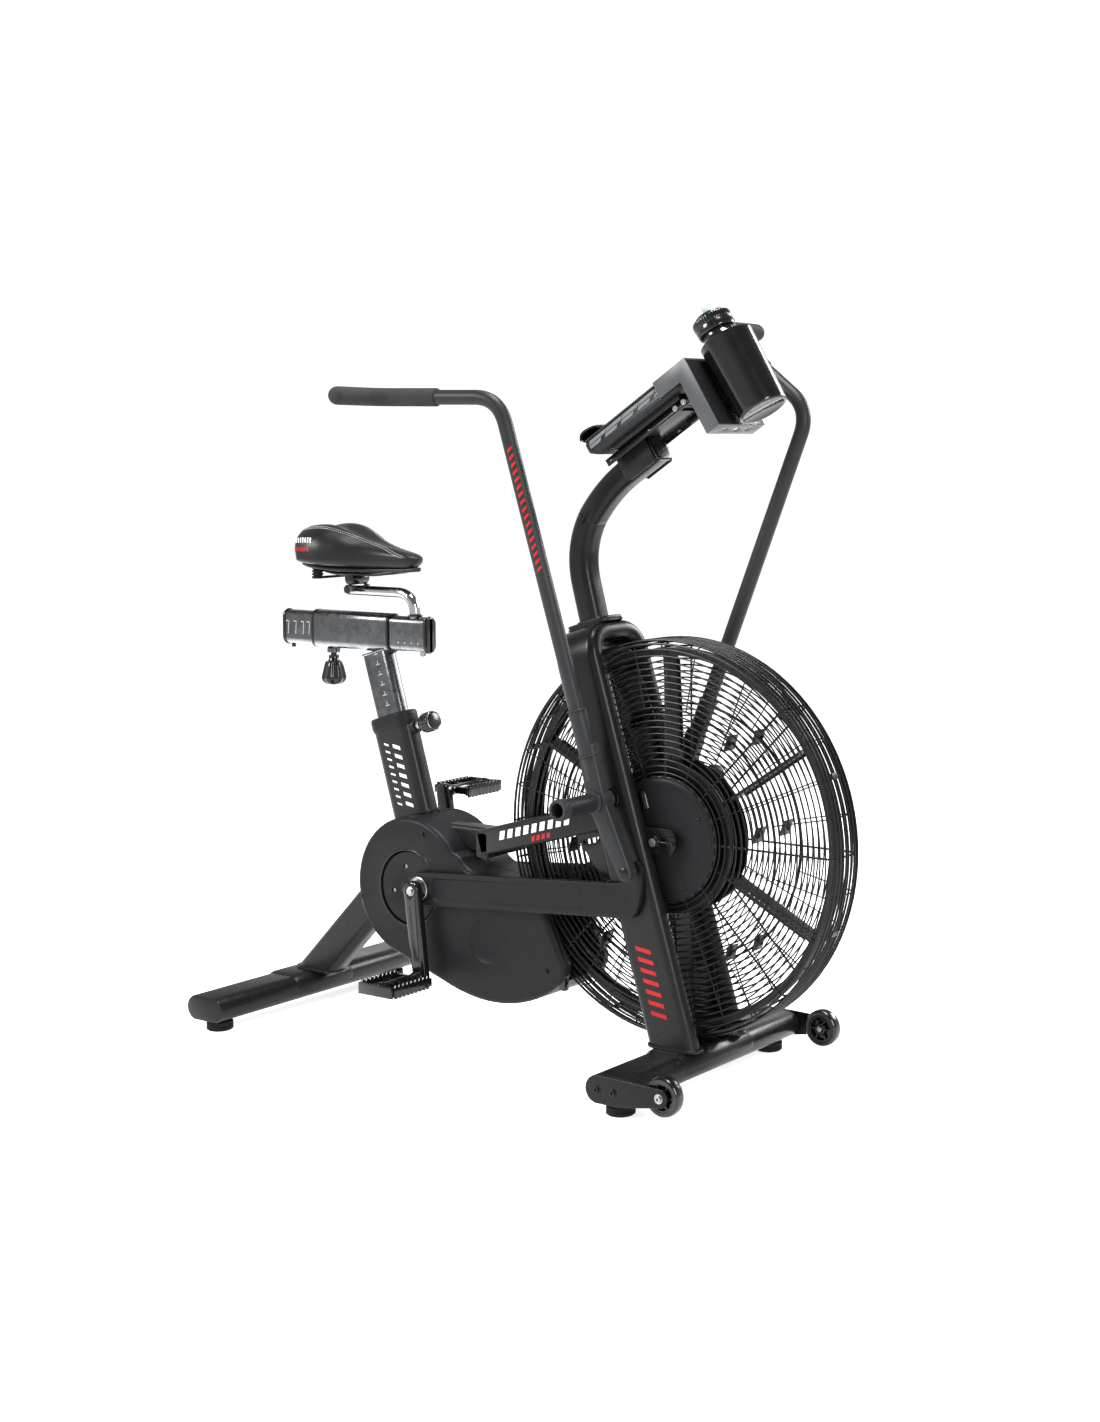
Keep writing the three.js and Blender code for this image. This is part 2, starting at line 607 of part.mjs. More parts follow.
const ROD = { rear: 75, front: 93, thick: 12, height: 66 };
const rod = (side) => {
  const [px, pz] = pinAt(side);
  const [lx, lz] = leverAt(side);
  const slope = 0.078;
  const end = lx - 28;
  const topRear = pz + ROD.height / 2;
  const topAt = (x) => topRear + (x - px) * slope;
  const shape = new THREE.Shape();
  shape.absarc(px, pz, ROD.height / 2, Math.PI / 2, (3 * Math.PI) / 2);
  shape.lineTo(lx - 10, topAt(lx - 10) - ROD.height);
  shape.quadraticCurveTo(lx + 12, topAt(lx) - ROD.height + 6, lx + 16, lz - 6);
  shape.absarc(lx, lz, 17, -0.3, Math.PI * 0.8);
  shape.quadraticCurveTo(lx - 22, topAt(lx) + 2, end - 16, topAt(end - 16));
  const flat = plate(shape, ROD.rear, ROD.rear + ROD.thick, 7);
  const eye = drum(px, pz, 11 + BEARING_ROOM, 50, 120, 14);
  const ringSeat = drum(px, pz, 24, ROD.rear + 2, ROD.rear + ROD.thick + 3, 18);
  const rodSolid = cut(join(flat, ringSeat), eye, drum(lx, lz, 8 + GAP, 50, 200, 12));
  const splay = (ROD.front - ROD.rear) / (lx - px);
  const p = rodSolid.attributes.position;
  for (let i = 0; i < p.count; i += 1) {
    const ahead = Math.max(0, p.getX(i) - px - 24);
    p.setY(i, p.getY(i) + ahead * splay);
  }
  return rodSolid;
};
add('connecting_rod_right', mirrorY(rod(1)), shroudBlack);
add('connecting_rod_left', rod(-1), shroudBlack);

// ---- swinging handles ----

// Corner points of the handle in its own frame: up along the tube, back across it, and outward.
const HANDLE = [
  [40, 0, 128],
  [767, 0, 178],
  [838, 264, 210],
  [838, 258, 322],
];
const TUBE = 14.3;
const GRIP = 17.5;
const GRIP_START = 0.5;

const handlePoint = (side, [up, back, out]) => {
  const angle = HANDLE_LEAN - (side > 0 ? 0 : SWING);
  const [c, s] = [Math.cos(angle), Math.sin(angle)];
  return [PIVOT.x + up * c - back * s, out, PIVOT.z + up * s + back * c];
};
const handlePath = (side) => bentPath(HANDLE.map((p) => handlePoint(side, p)), [52, 40], 4);

const handle = (side) => {
  const path = handlePath(side);
  const tube = sweep(path, circle(TUBE, 10), [0, 1, 0]);
  const [lx, lz] = leverAt(side);
  const hub = drum(PIVOT.x, PIVOT.z, 23, 112, 144, 16);
  const a = handlePoint(side, [95, 0, 0]);
  const arm = new THREE.Shape();
  const along = Math.atan2(PIVOT.z - a[2], PIVOT.x - a[0]);
  arm.absarc(a[0], a[2], 17, along + Math.PI / 2, along + (3 * Math.PI) / 2);
  const down = Math.atan2(lz - PIVOT.z, lx - PIVOT.x);
  arm.lineTo(PIVOT.x + 20 * Math.cos(down - Math.PI / 2), PIVOT.z + 20 * Math.sin(down - Math.PI / 2));
  arm.absarc(lx, lz, 15, down - Math.PI / 2, down + Math.PI / 2);
  arm.lineTo(PIVOT.x + 20 * Math.cos(down + Math.PI / 2), PIVOT.z + 20 * Math.sin(down + Math.PI / 2));
  const lever = plate(arm, 116, 140, 6);
  const stud = drum(lx, lz, 8, ROD.front + ROD.thick + 2.5, 140, 12);
  return cut(join(tube, lever, hub, stud), drum(PIVOT.x, PIVOT.z, 12 + BEARING_ROOM, 50, 200, 12));
};
add('handle_right', mirrorY(handle(1)), tubeBlack);
add('handle_left', handle(-1), tubeBlack);

// The grip is a sleeve over the last stretch of the tube, closed at its free end.
const grip = (side) => {
  const [, corner, bend, end] = HANDLE;
  const start = corner.map((v, i) => v + (bend[i] - v) * GRIP_START);
  const last = end.map((v, i) => v + (end[i] - bend[i]) * (i === 2 ? 0.16 : 0));
  const outerPath = bentPath([start, bend, last].map((p) => handlePoint(side, p)), [40], 4);
  const count = outerPath.length;
  const sections = outerPath.map((_, i) => circle(i === count - 1 ? GRIP * 0.75 : GRIP, 10));
  const outer = sweep(outerPath, sections, [0, 1, 0]);
  const core = sweep(handlePath(side), circle(TUBE + GAP, 10), [0, 1, 0]);
  return cut(outer, core);
};
add('grip_right', mirrorY(grip(1)), foam);
add('grip_left', grip(-1), foam);

// A foot peg screwed on the pivot stud, which runs through the fork leg.
const footPeg = () => {
  const stud = drum(PIVOT.x, PIVOT.z, 12, LEG.y - LEG.depth / 2 + 2, 150, 12);
  const washer = drum(PIVOT.x, PIVOT.z, 17, 90 + GAP, 112 - GAP, 12);
  const peg = [[0, 0], [21, 0], [21, 6], [17, 8], [17, 85], [19, 87]];
  const open = [[19, 106], [13, 106], [13, 60], [0, 60]];
  return join(stud, washer, turned([...peg, ...open], [PIVOT.x, 144 + GAP, PIVOT.z], [0, 1, 0], 14));
};
addPair('foot_peg', () => mirrorY(footPeg()), tubeBlack);

// ---- fan and cage ----

const aroundFan = (radius, angle) => [FAN.x + radius * Math.cos(angle), FAN.z + radius * Math.sin(angle)];

// A thin radial board about the fan axis.
const board = (r0, r1, y0, y1, thick, angle) => {
  const geometry = new THREE.BoxGeometry(r1 - r0, y1 - y0, thick);
  geometry.translate((r0 + r1) / 2, (y0 + y1) / 2, 0);
  return geometry.rotateY(-angle).translate(FAN.x, 0, FAN.z);
};

const fan = () => {
  const pieces = [
    drum(FAN.x, FAN.z, DRUM, -27, -25),
    drum(FAN.x, FAN.z, DRUM, 25, 27),
    drum(FAN.x, FAN.z, 34, -29, 29, 16),
    drum(FAN.x, FAN.z, 14, -38, 38, 16),
    ring(FAN.x, FAN.z, FAN_RING - 4, FAN_RING, -14, 14, 24),
    pulley(FAN.x, FAN.z, PULLEYS.fan, 30.5, 41.5, 11, 14),
  ];
  for (let i = 0; i < BLADES; i += 1) {
    const angle = THREE.MathUtils.degToRad(FIRST_BLADE + (360 / BLADES) * i);
    pieces.push(board(33, FAN_RING - 2, -25.5, 25.5, 2, angle));
  }
  return cut(join(...pieces), drum(FAN.x, FAN.z, 8 + GAP, -60, 60, 16));
};
add('fan', fan(), bladeBlack);
add('fan_axle', drum(FAN.x, FAN.z, 8, -84, 84, 16), steel);

// Each half of the cage: concentric wires across the face and round the rim, joined by spokes.
const HUB_COVER = 111;
const cageHalf = () => {
  const face = CAGE_HALF - WIRE;
  const pieces = [114, 240, CAGE_RADIUS - WIRE].map((r) =>
    ring(FAN.x, FAN.z, r, r + WIRE, -CAGE_HALF, -face),
  );
  pieces.push(ring(FAN.x, FAN.z, CAGE_RADIUS - WIRE, CAGE_RADIUS, -1 - WIRE, -1));
  for (let i = 0; i < SPOKES; i += 1) {
    const angle = ((i + 0.5) / SPOKES) * 2 * Math.PI;
    pieces.push(board(116, CAGE_RADIUS - 2, -CAGE_HALF + 1, -face - 0.5, WIRE, angle));
    if (i % 2) {
      pieces.push(board(CAGE_RADIUS - WIRE + 0.5, CAGE_RADIUS - 1, -CAGE_HALF + 1, -1.5, WIRE, angle));
    }
  }
  return join(...pieces);
};
addPair('cage', cageHalf, wireBlack);

const hubCover = () => {
  const y = CAGE_HALF + GAP;
  const rim = [[HUB_COVER + 8, 0], [HUB_COVER + 8, 1], [HUB_COVER - 4, 4.2]];
  return turned([[17, 0], ...rim, [17, 4.2], [17, 0]], [FAN.x, -y, FAN.z], [0, -1, 0], 28);
};
addPair('hub_cover', hubCover, shroudBlack);

// A slotted plate welded to the leg's front face holds the axle end, with a screw to set the belt.
const axleBracket = () => {
  const legEdge = legX(FAN.z) + LEG.width / 2 / legAxis.z + 1.2;
  const shape = outline(
    [legEdge + 7, FAN.z - 24],
    [FAN.x + 32, FAN.z - 24],
    [FAN.x + 38, FAN.z - 18],
    [FAN.x + 38, FAN.z + 18],
    [FAN.x + 32, FAN.z + 24],
    [legEdge - 8, FAN.z + 24],
  );
  const face = plate(shape, -68, -62);
  const nut = drum(FAN.x, FAN.z, 13, -78, -67, 6);
  const screw = bar([FAN.x + 11, -73, FAN.z], [FAN.x + 44, -73, FAN.z], 3.5, 8);
  const lug = box(FAN.x + 32, FAN.x + 38, -80, -62, FAN.z - 9, FAN.z + 9);
  return cut(join(face, nut, screw, lug), drum(FAN.x, FAN.z, 8 + GAP, -100, -20, 16));
};
addPair('axle_bracket', axleBracket, steel);

// ---- seat ----

const seatPost = () => {
  const section = flatOval(POST.width, POST.thick, POST.corner);
  const post = sweep([seatPoint(440), seatPoint(757)], section, [1, 0, 0]);
  return common(post, box(-400, 100, -60, 60, 400, SLEEVE.bottom - GAP));
};
add('seat_post', seatPost(), zinc);

const heightKnob = () => {
  const from = seatX(596) + 39;
  return turned(
    [[0, 0], [6, 0], [6, 22], [10.5, 22], [10.5, 34], [19, 38], [21, 44], [21, 62], [18, 66], [0, 66]],
    [from, 0, 596 + (from - seatX(596)) * SEAT_LEAN],
    [1, 0, SEAT_LEAN],
    14,
  );
};
add('height_knob', heightKnob(), glossBlack);

// A rounded box section carried fore and aft at the slider's height.
const along = (x0, x1, width, height, radius) => {
  const path = [new THREE.Vector3(x0, 0, SLIDER.z), new THREE.Vector3(x1, 0, SLIDER.z)];
  return sweep(path, flatOval(width, height, radius), [0, 1, 0]);
};

const sliderSleeve = () => {
  const height = SLEEVE.top - SLEEVE.bottom;
  const { width, height: inner, corner } = SLIDER;
  const body = cut(
    along(SLEEVE.rear, SLEEVE.front, SLEEVE.width, height, corner + 3),
    along(SLEEVE.rear - 10, SLEEVE.front + 10, width + 2 * GAP, inner + 2, corner + GAP),
  );
  return cut(body, bar([-273, 0, 700], [-273, 0, 790], 8.5, 12));
};
add('slider_sleeve', sliderSleeve(), zinc);

const saddlePostX = SLIDER.front - 43;
const sliderTube = () => {
  const { rear, front, width, height, corner } = SLIDER;
  const tube = along(rear + 4, front - 4, width, height, corner);
  const caps = [
    along(rear, rear + 12, width + 2, height + 4, corner + 1),
    along(front - 10, front, width + 2, height + 4, corner + 1),
  ];
  const socket = bar([saddlePostX, 0, 780], [saddlePostX, 0, 900], 11 + GAP, 16);
  return cut(join(tube, ...caps), socket);
};
add('slider_tube', sliderTube(), zinc);

const sliderKnob = () =>
  turned(
    [[0, 0], [6, 0], [6, 18], [10.5, 18], [10.5, 29], [20, 31], [26, 52], [24, 68], [15, 80], [0, 80]],
    [-273, 0, 762.5],
    [0, 0, -1],
    14,
  );
add('slider_knob', sliderKnob(), glossBlack);

const SADDLE_Z = 882;
const CLAMP_X = -204;
const saddlePost = () => {
  const path = bentPath(
    [[saddlePostX, 0, 781], [saddlePostX, 0, SADDLE_Z], [CLAMP_X - 23, 0, SADDLE_Z]],
    [48],
    6,
  );
  return sweep(path, circle(11, 14), [0, 1, 0]);
};
add('saddle_post', saddlePost(), chrome);

const RAIL_Z = 918;
const saddleClamp = () => {
  const body = bar([CLAMP_X, -22, SADDLE_Z + 14], [CLAMP_X, 22, SADDLE_Z + 14], 20, 14);
  const block = box(CLAMP_X - 19, CLAMP_X + 19, -20, 20, SADDLE_Z - 18, RAIL_Z - 2);
  const bolt = bar([CLAMP_X, -32, SADDLE_Z + 8], [CLAMP_X, 32, SADDLE_Z + 8], 6, 8);
  const rails = [-22, 22].map((y) => bar([CLAMP_X - 40, y, RAIL_Z], [CLAMP_X + 40, y, RAIL_Z], 4.2, 10));
  const postRoom = bar([CLAMP_X - 70, 0, SADDLE_Z], [0, 0, SADDLE_Z], 11 + GAP, 14);
  return cut(join(body, block, bolt), postRoom, ...rails);
};
add('saddle_clamp', saddleClamp(), glossBlack);

// The saddle: sections across it, from the two rear lobes to the nose.
const SADDLE = { rear: -316.5, nose: -30.5, middle: 950 };
const saddle = () => {
  // Fraction of the length, half width, top, bottom, and the depth of the middle channel.
  const stations = [
    [0, 62, 978, 945, 4],
    [0.06, 92, 1009, 938, 8],
    [0.22, 96, 1023, 934, 9],
    [0.4, 78, 1011, 931, 9],
    [0.56, 50, 992, 930, 6],
    [0.72, 33, 976, 930, 3],
    [0.9, 24, 961, 930, 1],
    [1, 11, 950, 936, 0],
  ];
  const rings = stations.map(([t, half, top, bottom, dip]) => {
    const x = SADDLE.rear + (SADDLE.nose - SADDLE.rear) * t;
    const points = [];
    for (let i = 0; i < 20; i += 1) {
      const angle = (i / 20) * 2 * Math.PI;
      const y = half * Math.cos(angle);
      const channel = dip * Math.exp(-((y / 16) ** 2));
      const sine = Math.sin(angle);
      const lift = sine > 0 ? top - channel - SADDLE.middle : SADDLE.middle - bottom;
      const z = SADDLE.middle + lift * Math.sign(sine) * Math.abs(sine) ** 0.6;
      points.push(new THREE.Vector3(x, y, z));
    }
    return points;
  });
  return loft(rings);
};
add('saddle', saddle(), vinyl);

// Two rails bent from one wire, from the saddle's nose through the clamp to its rear.
const saddleRails = () => {
  const side = (y) => {
    const corners = [
      [-54.5, y * 0.5, 925],
      [-134.5, y, RAIL_Z],
      [-249.5, y, RAIL_Z],
      [-298.5, y * 1.5, 932],
    ];
    return sweep(bentPath(corners, [14, 14], 3), circle(3.9, 8), [0, 1, 0]);
  };
  return join(side(-22), side(22), bar([-58.5, -12, 924.5], [-58.5, 12, 924.5], 4, 8));
};
add('saddle_rails', saddleRails(), steel);

// ---- console and bottle holder ----

const consoleShape = (points) => outline(...points.map(([s, n]) => {
  const [x, , z] = consolePoint(s, n);
  return [x, z];
}));
const consoleBox = (s0, s1, n0, n1, y0, y1) =>
  plate(consoleShape([[s0, n0], [s1, n0], [s1, n1], [s0, n1]]), y0, y1);

const consoleHousing = () => {
  const { half, length } = CONSOLE;
  const body = plate(
    consoleShape([[4, 0], [length, 0], [length, -38], [16, -38], [0, -26], [0, -4]]),
    -half,
    half,
  );
  const hump = consoleBox(38, length - 20, -48, -37, -half + 14, half - 14);
  const ledge = plate(consoleShape([[-12, 8], [-6, 22], [52, 14], [60, -1], [2, -1]]), -61, 61);
  return join(body, hump, ledge);
};
add('console', consoleHousing(), glossBlack);

const consoleBracket = () => {
  const top = consoleBox(20, 190, -53, -48 - GAP, -46, 46);
  const cheeks = [-29, 25.3].map((y) => consoleBox(40, 92, -88, -52, y, y + 3.7));
  const arms = [-46, 42].map((y) => consoleBox(150, 236, -62, -49, y, y + 4));
  const half = 25 + GAP;
  const neckRoom = consoleBox(-80, 97 + GAP, NECK_DROP - half, NECK_DROP + half, -half, half);
  return cut(join(top, ...cheeks, ...arms), neckRoom);
};
add('console_bracket', consoleBracket(), frameBlack);

const HOLDER = { front: 281, back: 279, rear: 249, foot: -141 };
const bottleBracket = () => {
  const { front, back, rear, foot: low } = HOLDER;
  const panel = consoleBox(back, front, low, -2, -74, 74);
  const floor = consoleBox(rear, front, low, low + 2, -74, 74);
  const flange = consoleShape([[196, 1], [196, -31], [rear, -31], [rear, low], [front, low], [front, -2]]);
  const sides = [plate(flange, -74, -72), plate(flange, 72, 74)];
  const top = consoleBox(196, back, 1 - 0.5, 2.5, -74, 74);
  return join(panel, floor, top, ...sides);
};
add('bottle_bracket', bottleBracket(), frameBlack);

const CUP = { s: 334, bottom: -145 };
const cupUp = [-Math.sin(CONSOLE.slope), 0, Math.cos(CONSOLE.slope)];
const cup = () =>
  turned(
    [[0, 0], [47.5, 0], [52, 153], [49.5, 153], [45, 3], [0, 3]],
    consolePoint(CUP.s, CUP.bottom),
    cupUp,
    22,
  );
add('cup', cup(), glossBlack);

const bottle = () => {
  const body = [[0, 0], [32, 0], [35, 4], [36, 157], [31, 164], [31, 168]];
  const cap = [[37, 170], [38, 188], [38, 200], [30, 206]];
  const spout = [[12, 208], [10, 232], [0, 232]];
  const foot = consolePoint(CUP.s - 8, CUP.bottom + 3 + GAP);
  return turned([...body, ...cap, ...spout], foot, cupUp, 18);
};
add('bottle', bottle(), glossBlack);

const airBike = new THREE.Group();
airBike.name = 'air_bike';
airBike.add(bike);

export default airBike;
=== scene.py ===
import json
import random
from math import acos, atan, atan2, copysign, cos, exp, pi, radians, sin, sqrt

import bmesh
import bpy
from mathutils import Matrix, Vector


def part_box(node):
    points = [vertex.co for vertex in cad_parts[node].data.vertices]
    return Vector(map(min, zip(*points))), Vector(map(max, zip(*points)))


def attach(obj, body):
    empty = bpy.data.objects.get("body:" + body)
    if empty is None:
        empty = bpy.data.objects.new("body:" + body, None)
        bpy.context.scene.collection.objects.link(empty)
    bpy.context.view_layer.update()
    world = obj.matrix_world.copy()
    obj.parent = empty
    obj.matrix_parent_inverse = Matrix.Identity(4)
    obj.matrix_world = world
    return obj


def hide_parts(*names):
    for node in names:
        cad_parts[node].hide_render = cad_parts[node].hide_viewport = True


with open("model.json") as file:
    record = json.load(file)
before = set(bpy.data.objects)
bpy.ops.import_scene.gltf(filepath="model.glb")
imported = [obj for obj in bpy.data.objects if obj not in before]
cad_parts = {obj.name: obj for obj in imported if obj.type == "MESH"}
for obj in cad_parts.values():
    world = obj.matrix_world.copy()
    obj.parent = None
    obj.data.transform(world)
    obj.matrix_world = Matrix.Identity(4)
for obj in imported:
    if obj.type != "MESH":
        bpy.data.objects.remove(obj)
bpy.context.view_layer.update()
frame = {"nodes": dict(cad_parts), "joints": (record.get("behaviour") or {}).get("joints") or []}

random.seed(7)

AT = {j["name"]: Vector(j["pos_m"]) for j in frame["joints"] if "pos_m" in j}
CRANK = AT["crank_spin"]
FAN = AT["fan_spin"]
JACK = AT["jackshaft_spin"]
PIVOT = AT["handle_right_swing"]
SIDES = (("right", -1), ("left", 1))
FLAT = Vector((1, 0, 1))
AHEAD, ACROSS, UP = (1, 0, 0), (0, 1, 0), (0, 0, 1)
RIGHTWARD, DOWN = (0, -1, 0), (0, 0, -1)


def at(x, z, y=0.0):
    """A point x ahead of the crank axis and z above the floor."""
    return Vector((CRANK.x + x, y, z))


def centre(node):
    low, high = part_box(node)
    return (low + high) / 2


# ---- camera, light and floor ----

PHOTO_WIDTH = 1100
PHOTO_HEIGHT = 1422
FOCAL = 2133.2
PRINCIPAL = (795.5, 534.95)
CAMERA = dict(place=(2.6594, -3.2037, 1.2007), azimuth=32.91, pitch=-2.65)


def make_camera():
    data = bpy.data.cameras.new("camera")
    data.sensor_width = 36.0
    data.lens = FOCAL * data.sensor_width / PHOTO_HEIGHT
    data.shift_x = (PHOTO_WIDTH / 2 - PRINCIPAL[0]) / PHOTO_HEIGHT
    data.shift_y = (PRINCIPAL[1] - PHOTO_HEIGHT / 2) / PHOTO_HEIGHT
    data.clip_end = 100
    camera = bpy.data.objects.new("camera", data)
    camera.location = CAMERA["place"]
    camera.rotation_euler = (radians(90 + CAMERA["pitch"]), 0, radians(CAMERA["azimuth"]))
    bpy.context.scene.collection.objects.link(camera)
    bpy.context.scene.camera = camera


def softbox(name, place, aim, size, power):
    data = bpy.data.lights.new(name, "AREA")
    data.shape = "RECTANGLE"
    data.size, data.size_y = size
    data.energy = power
    light = bpy.data.objects.new(name, data)
    light.location = place
    light.rotation_euler = (Vector(aim) - Vector(place)).to_track_quat("-Z", "Y").to_euler()
    bpy.context.scene.collection.objects.link(light)


def make_studio():
    """A white horizon with a dimmer ceiling, and four soft boxes."""
    world = bpy.data.worlds.new("studio")
    bpy.context.scene.world = world
    world.use_nodes = True
    tree = world.node_tree
    height = tree.nodes.new("ShaderNodeSeparateXYZ")
    tree.links.new(tree.nodes.new("ShaderNodeTexCoord").outputs["Generated"], height.inputs["Vector"])
    fade = node(tree, "ShaderNodeMapRange", From_Min=0.24, From_Max=0.5, To_Min=1.12, To_Max=0.3)
    tree.links.new(height.outputs["Z"], fade.inputs["Value"])
    background = tree.nodes["Background"]
    background.inputs["Color"].default_value = (1, 1, 1, 1)
    tree.links.new(fade.outputs["Result"], background.inputs["Strength"])
    middle = (0, 0, 0.7)
    softbox("key", (-2.6, -3.6, 3.2), middle, (1.5, 1.5), 330)
    softbox("fill", (4.2, -1.6, 2.4), middle, (1.0, 2.4), 150)
    softbox("top", (0.3, 0.2, 4.2), middle, (2.2, 1.0), 260)
    softbox("rim", (1.5, 4.2, 2.6), middle, (2.4, 1.4), 200)
    bpy.context.scene.view_settings.view_transform = "Standard"


# ---- materials ----

def node(tree, kind, **inputs):
    made = tree.nodes.new(kind)
    for key, value in inputs.items():
        made.inputs[key.replace("_", " ")].default_value = value
    return made


def surface(name, colour, roughness, metallic=0.0, mottle=(9, 0.15), grain=(420, 0.25), spread=0.08,
            edge=0.0, depth=0.0004, shine=0.14):
    """A procedural finish: mottled colour, uneven roughness, a fine bump and pointy edges painted paler as
    a painted highlight.
    """
    made = bpy.data.materials.new(name)
    made.use_nodes = True
    tree = made.node_tree
    shader = tree.nodes["Principled BSDF"]
    shader.inputs["Metallic"].default_value = metallic
    shader.inputs["Specular IOR Level"].default_value = shine
    shader.inputs["Coat Weight"].default_value = 0.0
    shader.inputs["Coat Roughness"].default_value = 0.12
    place = tree.nodes.new("ShaderNodeTexCoord").outputs["Object"]

    broad = node(tree, "ShaderNodeTexNoise", Scale=mottle[0], Detail=4.0, Roughness=0.6)
    tree.links.new(place, broad.inputs["Vector"])
    blend = tree.nodes.new("ShaderNodeMix")
    blend.data_type = "RGBA"
    tree.links.new(broad.outputs["Fac"], blend.inputs["Factor"])
    blend.inputs["A"].default_value = (*[c * (1 - mottle[1]) for c in colour], 1)
    blend.inputs["B"].default_value = (*[min(1, c * (1 + mottle[1])) for c in colour], 1)
    colour_out = blend.outputs["Result"]
    # Painted highlight: where the surface is pointy, at its edges, the base colour is raised towards a
    # paler copy of itself.
    if edge:
        shape = tree.nodes.new("ShaderNodeNewGeometry")
        edge_highlight_amount = node(tree, "ShaderNodeMapRange", From_Min=0.52, From_Max=0.62, To_Min=0.0, To_Max=edge)
        tree.links.new(shape.outputs["Pointiness"], edge_highlight_amount.inputs["Value"])
        painted_edge_highlight = tree.nodes.new("ShaderNodeMix")
        painted_edge_highlight.data_type = "RGBA"
        tree.links.new(edge_highlight_amount.outputs["Result"], painted_edge_highlight.inputs["Factor"])
        tree.links.new(colour_out, painted_edge_highlight.inputs["A"])
        painted_edge_highlight.inputs["B"].default_value = (*[min(1, c * 2.2 + 0.02) for c in colour], 1)
        colour_out = painted_edge_highlight.outputs["Result"]
    tree.links.new(colour_out, shader.inputs["Base Color"])

    rough = node(tree, "ShaderNodeTexNoise", Scale=mottle[0] * 3.3, Detail=3.0)
    tree.links.new(place, rough.inputs["Vector"])
    span = node(tree, "ShaderNodeMapRange", To_Min=max(0.02, roughness - spread),
                To_Max=min(1, roughness + spread))
    tree.links.new(rough.outputs["Fac"], span.inputs["Value"])
    tree.links.new(span.outputs["Result"], shader.inputs["Roughness"])

    if grain[1]:
        fine = node(tree, "ShaderNodeTexNoise", Scale=grain[0], Detail=2.0)
        tree.links.new(place, fine.inputs["Vector"])
        bump = node(tree, "ShaderNodeBump", Strength=grain[1], Distance=depth)
        tree.links.new(fine.outputs["Fac"], bump.inputs["Height"])
        tree.links.new(bump.outputs["Normal"], shader.inputs["Normal"])
    return made


def leather(name, colour, roughness):
    """Vinyl with pebbled cells and fine creases between them."""
    made = surface(name, colour, roughness, mottle=(14, 0.2), grain=(0, 0), shine=0.2)
    tree = made.node_tree
    shader = tree.nodes["Principled BSDF"]
    place = tree.nodes.new("ShaderNodeTexCoord").outputs["Object"]
    cells = node(tree, "ShaderNodeTexVoronoi", Scale=620.0)
    cells.feature = "DISTANCE_TO_EDGE"
    warp = node(tree, "ShaderNodeTexNoise", Scale=260.0, Detail=3.0)
    tree.links.new(place, cells.inputs["Vector"])
    tree.links.new(place, warp.inputs["Vector"])
    both = tree.nodes.new("ShaderNodeMath")
    both.operation = "ADD"
    tree.links.new(cells.outputs["Distance"], both.inputs[0])
    tree.links.new(warp.outputs["Fac"], both.inputs[1])
    bump = node(tree, "ShaderNodeBump", Strength=0.35, Distance=0.0005)
    tree.links.new(both.outputs["Value"], bump.inputs["Height"])
    tree.links.new(bump.outputs["Normal"], shader.inputs["Normal"])
    return made


def plated(name, colour, roughness):
    """Zinc plating: spangled patches of lighter and darker metal with a blurred mirror, plus a painted
    highlight that brightens faces that turn down.
    """
    made = surface(name, colour, roughness, metallic=1.0, mottle=(26, 0.3), grain=(160, 0.12), spread=0.12)
    tree = made.node_tree
    shader = tree.nodes["Principled BSDF"]
    place = tree.nodes.new("ShaderNodeTexCoord").outputs["Object"]
    patches = node(tree, "ShaderNodeTexVoronoi", Scale=85.0)
    tree.links.new(place, patches.inputs["Vector"])
    grey = tree.nodes.new("ShaderNodeSeparateColor")
    tree.links.new(patches.outputs["Color"], grey.inputs["Color"])
    blend = tree.nodes.new("ShaderNodeMix")
    blend.data_type = "RGBA"
    blend.blend_type = "MULTIPLY"
    blend.inputs["Factor"].default_value = 0.55
    old = shader.inputs["Base Color"].links[0].from_socket
    tree.links.new(old, blend.inputs["A"])
    lift = node(tree, "ShaderNodeMapRange", To_Min=0.55, To_Max=1.0)
    tree.links.new(grey.outputs["Red"], lift.inputs["Value"])
    tree.links.new(lift.outputs["Result"], blend.inputs["B"])
    # Painted highlight: the base colour is raised up to five times on faces whose normal points down.
    shape = tree.nodes.new("ShaderNodeNewGeometry")
    turn = tree.nodes.new("ShaderNodeSeparateXYZ")
    tree.links.new(shape.outputs["Normal"], turn.inputs["Vector"])
    under = node(tree, "ShaderNodeMapRange", From_Min=-0.12, From_Max=-0.75, To_Min=1.0, To_Max=5.0)
    tree.links.new(turn.outputs["Z"], under.inputs["Value"])
    painted_underside_highlight = tree.nodes.new("ShaderNodeVectorMath")
    painted_underside_highlight.operation = "SCALE"
    tree.links.new(blend.outputs["Result"], painted_underside_highlight.inputs[0])
    tree.links.new(under.outputs["Result"], painted_underside_highlight.inputs["Scale"])
    tree.links.new(painted_underside_highlight.outputs["Vector"], shader.inputs["Base Color"])
    return made
